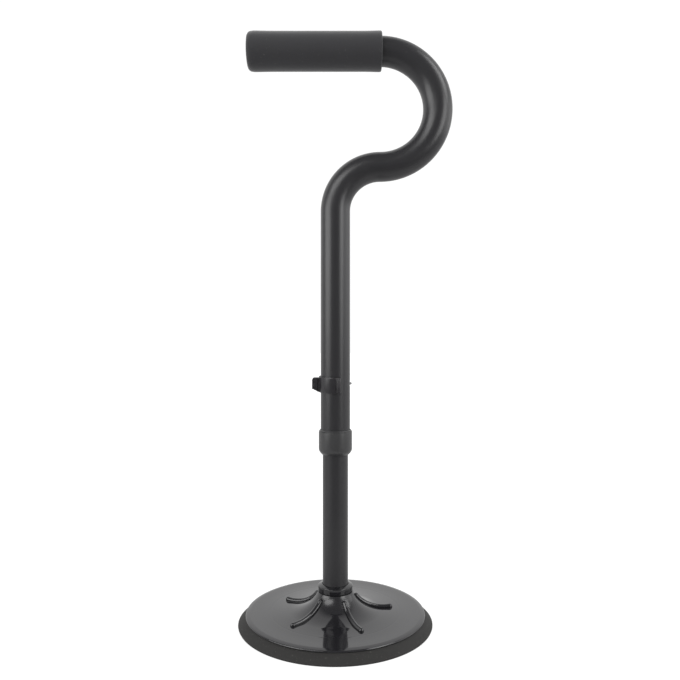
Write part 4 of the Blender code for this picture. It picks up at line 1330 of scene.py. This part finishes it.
class STANDINGAID_OT_locking_clip(PieceOperator, Operator):
    """Form the clip's band, beads and thumb lug, and cut the grooves between the lug's ribs"""

    bl_idname = "standing_aid.locking_clip"
    bl_label = "Locking clip"

    def band(self, size, clip):
        """The band that hugs the tube, as a rounded section carried round it."""
        inside = round_handle_tube(size)
        # Each station is a place on the band's inner face and the direction out of it
        stations = []
        for step in range(ARM_STEPS + 1):
            stations.append((clip.bead_reach * (1 - step / ARM_STEPS), -inside, 0.0, -1.0))
        for x, y in arc((0.0, 0.0), 1.0, -90, -270, BAND_STEPS)[1:]:
            stations.append((x * inside, y * inside, x, y))
        for step in range(1, ARM_STEPS + 1):
            stations.append((clip.bead_reach * step / ARM_STEPS, inside, 0.0, 1.0))
        rings = []
        for x, y, out_x, out_y in stations:
            top = clip.above_peg + clip.rise * max(0.0, -x / (inside + clip.wall))
            share = (x - clip.ledge_start) / clip.ledge_length
            if y > 0 or not 0 <= share <= 1:
                share = 0.0
            ledge = clip.ledge_least + (clip.ledge_most - clip.ledge_least) * share
            groove_share = fading(x - clip.arm_groove_place, clip.arm_groove_width / 2)
            wall = clip.wall - clip.arm_groove_depth * groove_share
            section = filleted(
                [
                    (0.0, -clip.below_peg, KEEN_EDGE),
                    (wall, -clip.below_peg, EASED_EDGE),
                    (wall, top - clip.ledge_steepness * ledge, KEEN_EDGE),
                    (wall - ledge, top, KEEN_EDGE),
                    (0.0, top, KEEN_EDGE),
                ]
            )
            rings.append([(x + out_x * out, y + out_y * out, PEG_HEIGHT + up) for out, up in section])
        return lofted("locking_clip_skin", rings)

    def lug(self, size, clip):
        """The thumb lug, with a stepped underside, rounded all over."""
        inside = round_handle_tube(size)
        band = inside + clip.wall
        outer = band + clip.lug_reach
        # The root lies in the band's wall, clear of its inner face
        root = inside + clip.wall / 10
        corner = clip.lug_corner
        x = -outer
        z = -clip.lug_below_peg
        side = [(x, z)]
        for _ in range(clip.step_count):
            x += clip.step_run
            z -= clip.step_fall
            side.append((x, z))
            x += clip.step_slant
            z -= clip.step_drop
            side.append((x, z))
        # The corner at the top is cut in two slopes
        side += [
            (-band, clip.heel - clip.below_peg),
            (-root, clip.heel - clip.below_peg),
            (-root, clip.lug_above_peg),
            (-outer + 2 * corner, clip.lug_above_peg),
            (-outer + 2 * corner / 3, clip.lug_above_peg - 2 * corner / 3),
            (-outer, clip.lug_above_peg - 2 * corner),
        ]
        half = clip.lug_width / 2
        rings = [[(x, y, PEG_HEIGHT + z) for x, z in side] for y in (-half, half)]
        lug = lofted("clip_lug", rings)
        bevel = lug.modifiers.new("Rounding", "BEVEL")
        bevel.width = clip.lug_edge
        bevel.segments = BEVEL_STEPS
        bevel.limit_method = "ANGLE"
        bevel.angle_limit = BEVEL_ANGLE
        return baked(lug)

    def bead(self, size, clip, side):
        """The upright bead at the end of an arm."""
        outline = filleted(
            [
                (0.0, clip.above_peg + clip.bead_rise, 0.0),
                (clip.bead_radius, clip.above_peg + clip.bead_rise, SOFT_EDGE),
                (clip.bead_radius, KEEN_EDGE - clip.below_peg, SOFT_EDGE),
                (0.0, KEEN_EDGE - clip.below_peg, 0.0),
            ],
            closed=False,
        )
        bead = turned("clip_bead", outline, HOLE_SIDES, on_axis=True)
        bead.data.transform(HALF_SIDE)
        reach = round_handle_tube(size) + clip.bead_radius
        bead.data.transform(Matrix.Translation((clip.bead_reach, side * reach, PEG_HEIGHT)))
        return bead

    def execute(self, context):
        size = tubes()
        clip = context.scene.standing_aid_clip
        piece = self.band(size, clip)
        boolean(piece, self.lug(size, clip), "UNION")
        for side in (-1, 1):
            boolean(piece, self.bead(size, clip, side), "UNION")
        band = round_handle_tube(size) + clip.wall
        bore_end = band + clip.lug_reach - clip.lug_outer_wall
        outline = [(0.0, 0.0), (round_peg(size), 0.0), (round_peg(size), bore_end), (0.0, bore_end)]
        bore = turned("clip_bore", outline, HOLE_SIDES, on_axis=True)
        bore.data.transform(HALF_SIDE)
        along_x(bore, -bore_end, PEG_HEIGHT)
        boolean(piece, bore, "DIFFERENCE")
        # The rods that cut the grooves reach far past the lug, above and below
        run_tree(
            piece,
            groove_tree(),
            {
                "Groove Count": clip.groove_count,
                "First Groove": -(band + clip.lug_reach - clip.first_groove),
                "Groove Pitch": clip.rib_pitch,
                "Groove Radius": clip.groove_radius,
                "Side": clip.lug_width / 2 + clip.groove_radius / 4,
                "Middle": PEG_HEIGHT,
                "Height": 4 * clip.below_peg,
                "Material": clip_plastic(),
            },
        )
        finished(piece, clip_plastic(), "clip", ["locking_clip"])
        return {"FINISHED"}


class STANDINGAID_OT_clip_peg(PieceOperator, Operator):
    """Turn the steel peg with its cone"""

    bl_idname = "standing_aid.clip_peg"
    bl_label = "Clip peg"

    def execute(self, context):
        size = tubes()
        radius = size.peg_diameter / 2
        length = PEG_BOX[1].x - PEG_BOX[0].x
        outline = filleted(
            [
                (0.0, 0.0, 0.0),
                (radius, 0.0, EASED_EDGE),
                (radius, length - size.peg_tip_length, 2 * EASED_EDGE),
                (size.peg_tip_diameter / 2, length, FINE_EDGE),
                (0.0, length, 0.0),
            ],
            closed=False,
        )
        peg = turned("clip_peg_skin", outline, ROUND_STEPS // 2, on_axis=True)
        along_x(peg, PEG_BOX[0].x, PEG_HEIGHT)
        # The peg's darker steel is painted shade
        finished(peg, peg_finish_painted_shade(), "clip", ["clip_peg"])
        return {"FINISHED"}


class STANDINGAID_OT_base_plate(PieceOperator, Operator):
    """Turn the flared base plate, hollow it between its webs and raise its ribs"""

    bl_idname = "standing_aid.base_plate"
    bl_label = "Base plate"

    def shell(self, size, base, flare):
        """The plate as a turned solid, with its rim, its socket and the spigot in the ring."""
        over_lower = round_lower_tube(size)
        spigot = over_lower + base.spigot_wall
        spigot_top = base.socket_top + base.spigot_height
        rim_drop = base.rim_thickness - base.rim_edge
        # The slope down to the rim touches the round of its upper edge
        inward = base.rim_spread - base.rim_rounding
        tangent = math.acos(base.rim_rounding / math.hypot(inward, rim_drop))
        slope_end = math.atan2(rim_drop, -inward) - tangent
        rounding_middle = (base.plate_radius - base.rim_rounding, base.plate_top - rim_drop)
        shoulder = arc(rounding_middle, base.rim_rounding, math.degrees(slope_end), 0, SHOULDER_STEPS)
        rim_edge_middle = (base.plate_radius - base.rim_edge, base.plate_top - rim_drop)
        rim_wall = base.plate_radius - base.rim_overhang
        half_witness = base.witness_width / 2
        outline = [
            (over_lower, spigot_top),
            (spigot, spigot_top),
            (spigot, base.socket_top),
            *flare.points(FLARE_STEPS),
            (base.witness_radius - 2 * half_witness, base.plate_top),
            (base.witness_radius - half_witness, base.plate_top),
            (base.witness_radius, base.plate_top - base.witness_depth),
            (base.witness_radius + half_witness, base.plate_top),
            (base.witness_radius + 2 * half_witness, base.plate_top),
            (base.plate_radius - base.rim_spread - half_witness, base.plate_top),
            (base.plate_radius - base.rim_spread, base.plate_top),
            *shoulder,
            *arc(rim_edge_middle, base.rim_edge, 0, -90, RIM_EDGE_STEPS)[1:],
            (rim_wall, base.plate_top - base.rim_thickness),
            (rim_wall, PLATE_BOX[0].z),
            (base.washer_pocket, PLATE_BOX[0].z),
            (base.washer_pocket, base.socket_floor - base.socket_web),
            (base.screw_hole, base.socket_floor - base.socket_web),
            (base.screw_hole, base.socket_floor),
            (over_lower, base.socket_floor),
        ]
        return turned("base_plate_skin", outline, BASE_STEPS)

    def cavity(self, size, base, flare):
        """The hollow under the plate, as it would be without webs."""
        socket = round_lower_tube(size) + base.socket_wall
        rim = base.plate_radius - base.rim_overhang - base.rim_wall
        ceiling = [point for point in flare.points(CAVITY_STEPS, base.plate_wall) if point[0] > socket]
        outline = [
            (socket, ceiling[0][1]),
            *ceiling,
            (rim, base.plate_top - base.plate_wall),
            (rim, PLATE_BOX[0].z - OVERCUT),
            (socket, PLATE_BOX[0].z - OVERCUT),
        ]
        return turned("plate_cavity", outline, WEB_SIDES)

    def execute(self, context):
        size = tubes()
        base = context.scene.standing_aid_base
        flare = Flare(size, base)
        plate = self.shell(size, base, flare)
        cavity = self.cavity(size, base, flare)
        gloss = plate_plastic(base, flare.reach)
        run_tree(
            plate,
            flare_tree(),
            {
                "Cavity": cavity,
                "Rib Count": base.rib_count,
                "Rib Width": base.rib_width,
                "Rib Height": base.rib_height,
                "Rib Angle": base.rib_angle,
                "Rib Start Turn": flare.rib_turn(base.rib_start, -1),
                "Rib End Turn": flare.rib_turn(base.rib_end, 1),
                "Flare Radius": base.flare_radius,
                "Flare Reach": flare.reach,
                "Flare Rise": base.flare_rise,
                "Plate Top": base.plate_top,
                "Web Thickness": base.web_thickness,
                "Web Length": 2 * base.plate_radius,
                "Web Height": 2 * base.socket_top,
                "Round Web Radius": base.round_web_radius,
                "Material": gloss,
            },
        )
        bpy.data.objects.remove(cavity)
        finished(plate, gloss, "base", ["base_plate"])
        return {"FINISHED"}


class STANDINGAID_OT_rubber_foot(PieceOperator, Operator):
    """Turn the rubber foot with its sloping skirt and its tread"""

    bl_idname = "standing_aid.rubber_foot"
    bl_label = "Rubber foot"

    def execute(self, context):
        size = tubes()
        base = context.scene.standing_aid_base
        seat = base.plate_radius - base.rim_overhang + size.clearance
        lip = base.plate_top - base.rim_thickness - size.clearance
        skirt = SKIRT_BOX[1].x
        outline = [
            (0.0, base.foot_floor, 0.0),
            (seat, base.foot_floor, 0.0),
            (seat, lip, FINE_EDGE),
            (base.plate_radius - size.clearance, lip, EASED_EDGE),
            (skirt, base.skirt_edge, SOFT_EDGE),
            (skirt - base.skirt_edge / 2, 0.0, FINE_EDGE),
        ]
        for index in range(base.tread_count):
            middle = base.plate_radius - base.tread_pitch * (index + 0.5)
            outline += [
                (middle + base.tread_width / 2, 0.0, 0.0),
                (middle + base.tread_width / 4, base.tread_depth, KEEN_EDGE),
                (middle - base.tread_width / 4, base.tread_depth, KEEN_EDGE),
                (middle - base.tread_width / 2, 0.0, 0.0),
            ]
        outline.append((0.0, 0.0, 0.0))
        foot = turned("rubber_foot_skin", filleted(outline, closed=False), BASE_STEPS, on_axis=True)
        finished(foot, black_rubber(), "base", ["rubber_foot"])
        return {"FINISHED"}


class STANDINGAID_OT_inner_fittings(PieceOperator, Operator):
    """Give the plugs, the glide, the nut, the screw and the washer their finishes"""

    bl_idname = "standing_aid.inner_fittings"
    bl_label = "Inner fittings"

    def execute(self, context):
        finishes = {
            "handle_end_plug": matt_plastic(),
            "tube_glide": matt_plastic(),
            "foot_plug": matt_plastic(),
            "foot_nut": zinc_steel(),
            "base_screw": zinc_steel(),
            "base_washer": zinc_steel(),
        }
        for node, material in finishes.items():
            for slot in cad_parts[node].material_slots:
                slot.material = material
        return {"FINISHED"}


class STANDINGAID_OT_studio(PieceOperator, Operator):
    """Set up the white floor, the soft boxes, the room's light and the camera"""

    bl_idname = "standing_aid.studio"
    bl_label = "Studio"

    def floor(self, studio):
        """A white floor that keeps the object's shadow and runs into the white background."""
        shape = bmesh.new()
        bmesh.ops.create_circle(shape, cap_ends=True, segments=FLOOR_SIDES, radius=FLOOR_RADIUS)
        mesh = bpy.data.meshes.new("studio_floor")
        shape.to_mesh(mesh)
        shape.free()
        mesh.transform(Matrix.Translation((0, 0, FLOOR_HEIGHT - FLOOR_GAP)))
        mesh.materials.append(white_floor(studio))
        floor = linked("studio_floor", mesh)

    def world(self, studio):
        """White where the camera looks, a bright backdrop behind the object, a dimmer room elsewhere."""
        world = bpy.data.worlds.new("studio_world")
        bpy.context.scene.world = world
        world.use_nodes = True
        tree = world.node_tree
        tree.nodes.clear()
        direction = add(tree, "ShaderNodeTexCoord").outputs["Generated"]
        depth = add(tree, "ShaderNodeSeparateXYZ", {"Vector": direction}).outputs["Y"]
        behind = ranged(tree, depth, BACKDROP_START, BACKDROP_FULL)
        spread = studio.backdrop_level - studio.room_level
        studio_light = calculate(tree, "MULTIPLY_ADD", behind, spread, studio.room_level)
        ray = add(tree, "ShaderNodeLightPath").outputs
        level = calculate(tree, "MAXIMUM", studio_light, ray["Is Camera Ray"])
        white = (1.0, 1.0, 1.0, 1.0)
        light = add(tree, "ShaderNodeBackground", {"Color": white, "Strength": level}).outputs["Background"]
        add(tree, "ShaderNodeOutputWorld", {"Surface": light})

    def soft_boxes(self, studio):
        """Large oval lamps before the object and beside it, turned to its middle."""
        middle = (CAD_BOX[0] + CAD_BOX[1]) / 2
        for name, (power, turn, rise, width, height) in SOFT_BOXES.items():
            lamp = bpy.data.lights.new(name, "AREA")
            lamp.shape = "ELLIPSE"
            lamp.size = width
            lamp.size_y = height
            lamp.energy = power * studio.box_power
            turn = math.radians(turn)
            rise = math.radians(rise)
            level = math.cos(rise)
            away = Vector((math.sin(turn) * level, -math.cos(turn) * level, math.sin(rise)))
            box = linked(name, lamp)
            box.location = middle + studio.box_distance * away
            box.rotation_mode = "QUATERNION"
            box.rotation_quaternion = away.to_track_quat("Z", "Y")

    def execute(self, context):
        studio = context.scene.standing_aid_studio
        self.floor(studio)
        self.world(studio)
        self.soft_boxes(studio)
        data = bpy.data.cameras.new("camera")
        data.sensor_width = SENSOR_WIDTH
        data.lens = studio.lens
        data.shift_y = studio.shift
        data.clip_start = NEAREST_SEEN
        camera = linked("camera", data)
        camera.location = studio.camera_place
        camera.rotation_euler = (math.pi / 2, 0.0, 0.0)
        context.scene.camera = camera
        context.scene.view_settings.view_transform = "Standard"
        return {"FINISHED"}


class STANDINGAID_PT_sidebar(Panel):
    """Lists the sizes and the steps of the floor standing aid"""

    bl_idname = "STANDINGAID_PT_sidebar"
    bl_label = "Floor standing aid"
    bl_space_type = "VIEW_3D"
    bl_region_type = "UI"
    bl_category = "Standing aid"

    def draw(self, context):
        layout = self.layout
        for operator in STEPS:
            layout.operator(operator.bl_idname)
        for name in SETTINGS:
            settings = getattr(context.scene, name)
            box = layout.box()
            box.label(text=settings.bl_rna.name)
            for item in settings.bl_rna.properties:
                if item.identifier not in {"name", "rna_type"}:
                    box.prop(settings, item.identifier)


SETTINGS = {
    "standing_aid_tubes": StandingAidTubes,
    "standing_aid_grip": StandingAidGrip,
    "standing_aid_collars": StandingAidCollars,
    "standing_aid_clip": StandingAidClip,
    "standing_aid_base": StandingAidBase,
    "standing_aid_colours": StandingAidColours,
    "standing_aid_studio": StandingAidStudio,
}

STEPS = (
    STANDINGAID_OT_studio,
    STANDINGAID_OT_handle_tube,
    STANDINGAID_OT_lower_tube,
    STANDINGAID_OT_hand_grip,
    STANDINGAID_OT_collars,
    STANDINGAID_OT_locking_clip,
    STANDINGAID_OT_clip_peg,
    STANDINGAID_OT_base_plate,
    STANDINGAID_OT_rubber_foot,
    STANDINGAID_OT_inner_fittings,
)


def register():
    for kind in (*SETTINGS.values(), *STEPS, STANDINGAID_PT_sidebar):
        bpy.utils.register_class(kind)
    for name, kind in SETTINGS.items():
        setattr(bpy.types.Scene, name, PointerProperty(type=kind))


def unregister():
    for name in SETTINGS:
        delattr(bpy.types.Scene, name)
    for kind in (STANDINGAID_PT_sidebar, *reversed(STEPS), *reversed(SETTINGS.values())):
        bpy.utils.unregister_class(kind)


def main():
    register()
    for operator in STEPS:
        group, name = operator.bl_idname.split(".")
        getattr(getattr(bpy.ops, group), name)()


if __name__ == "__main__":
    main()
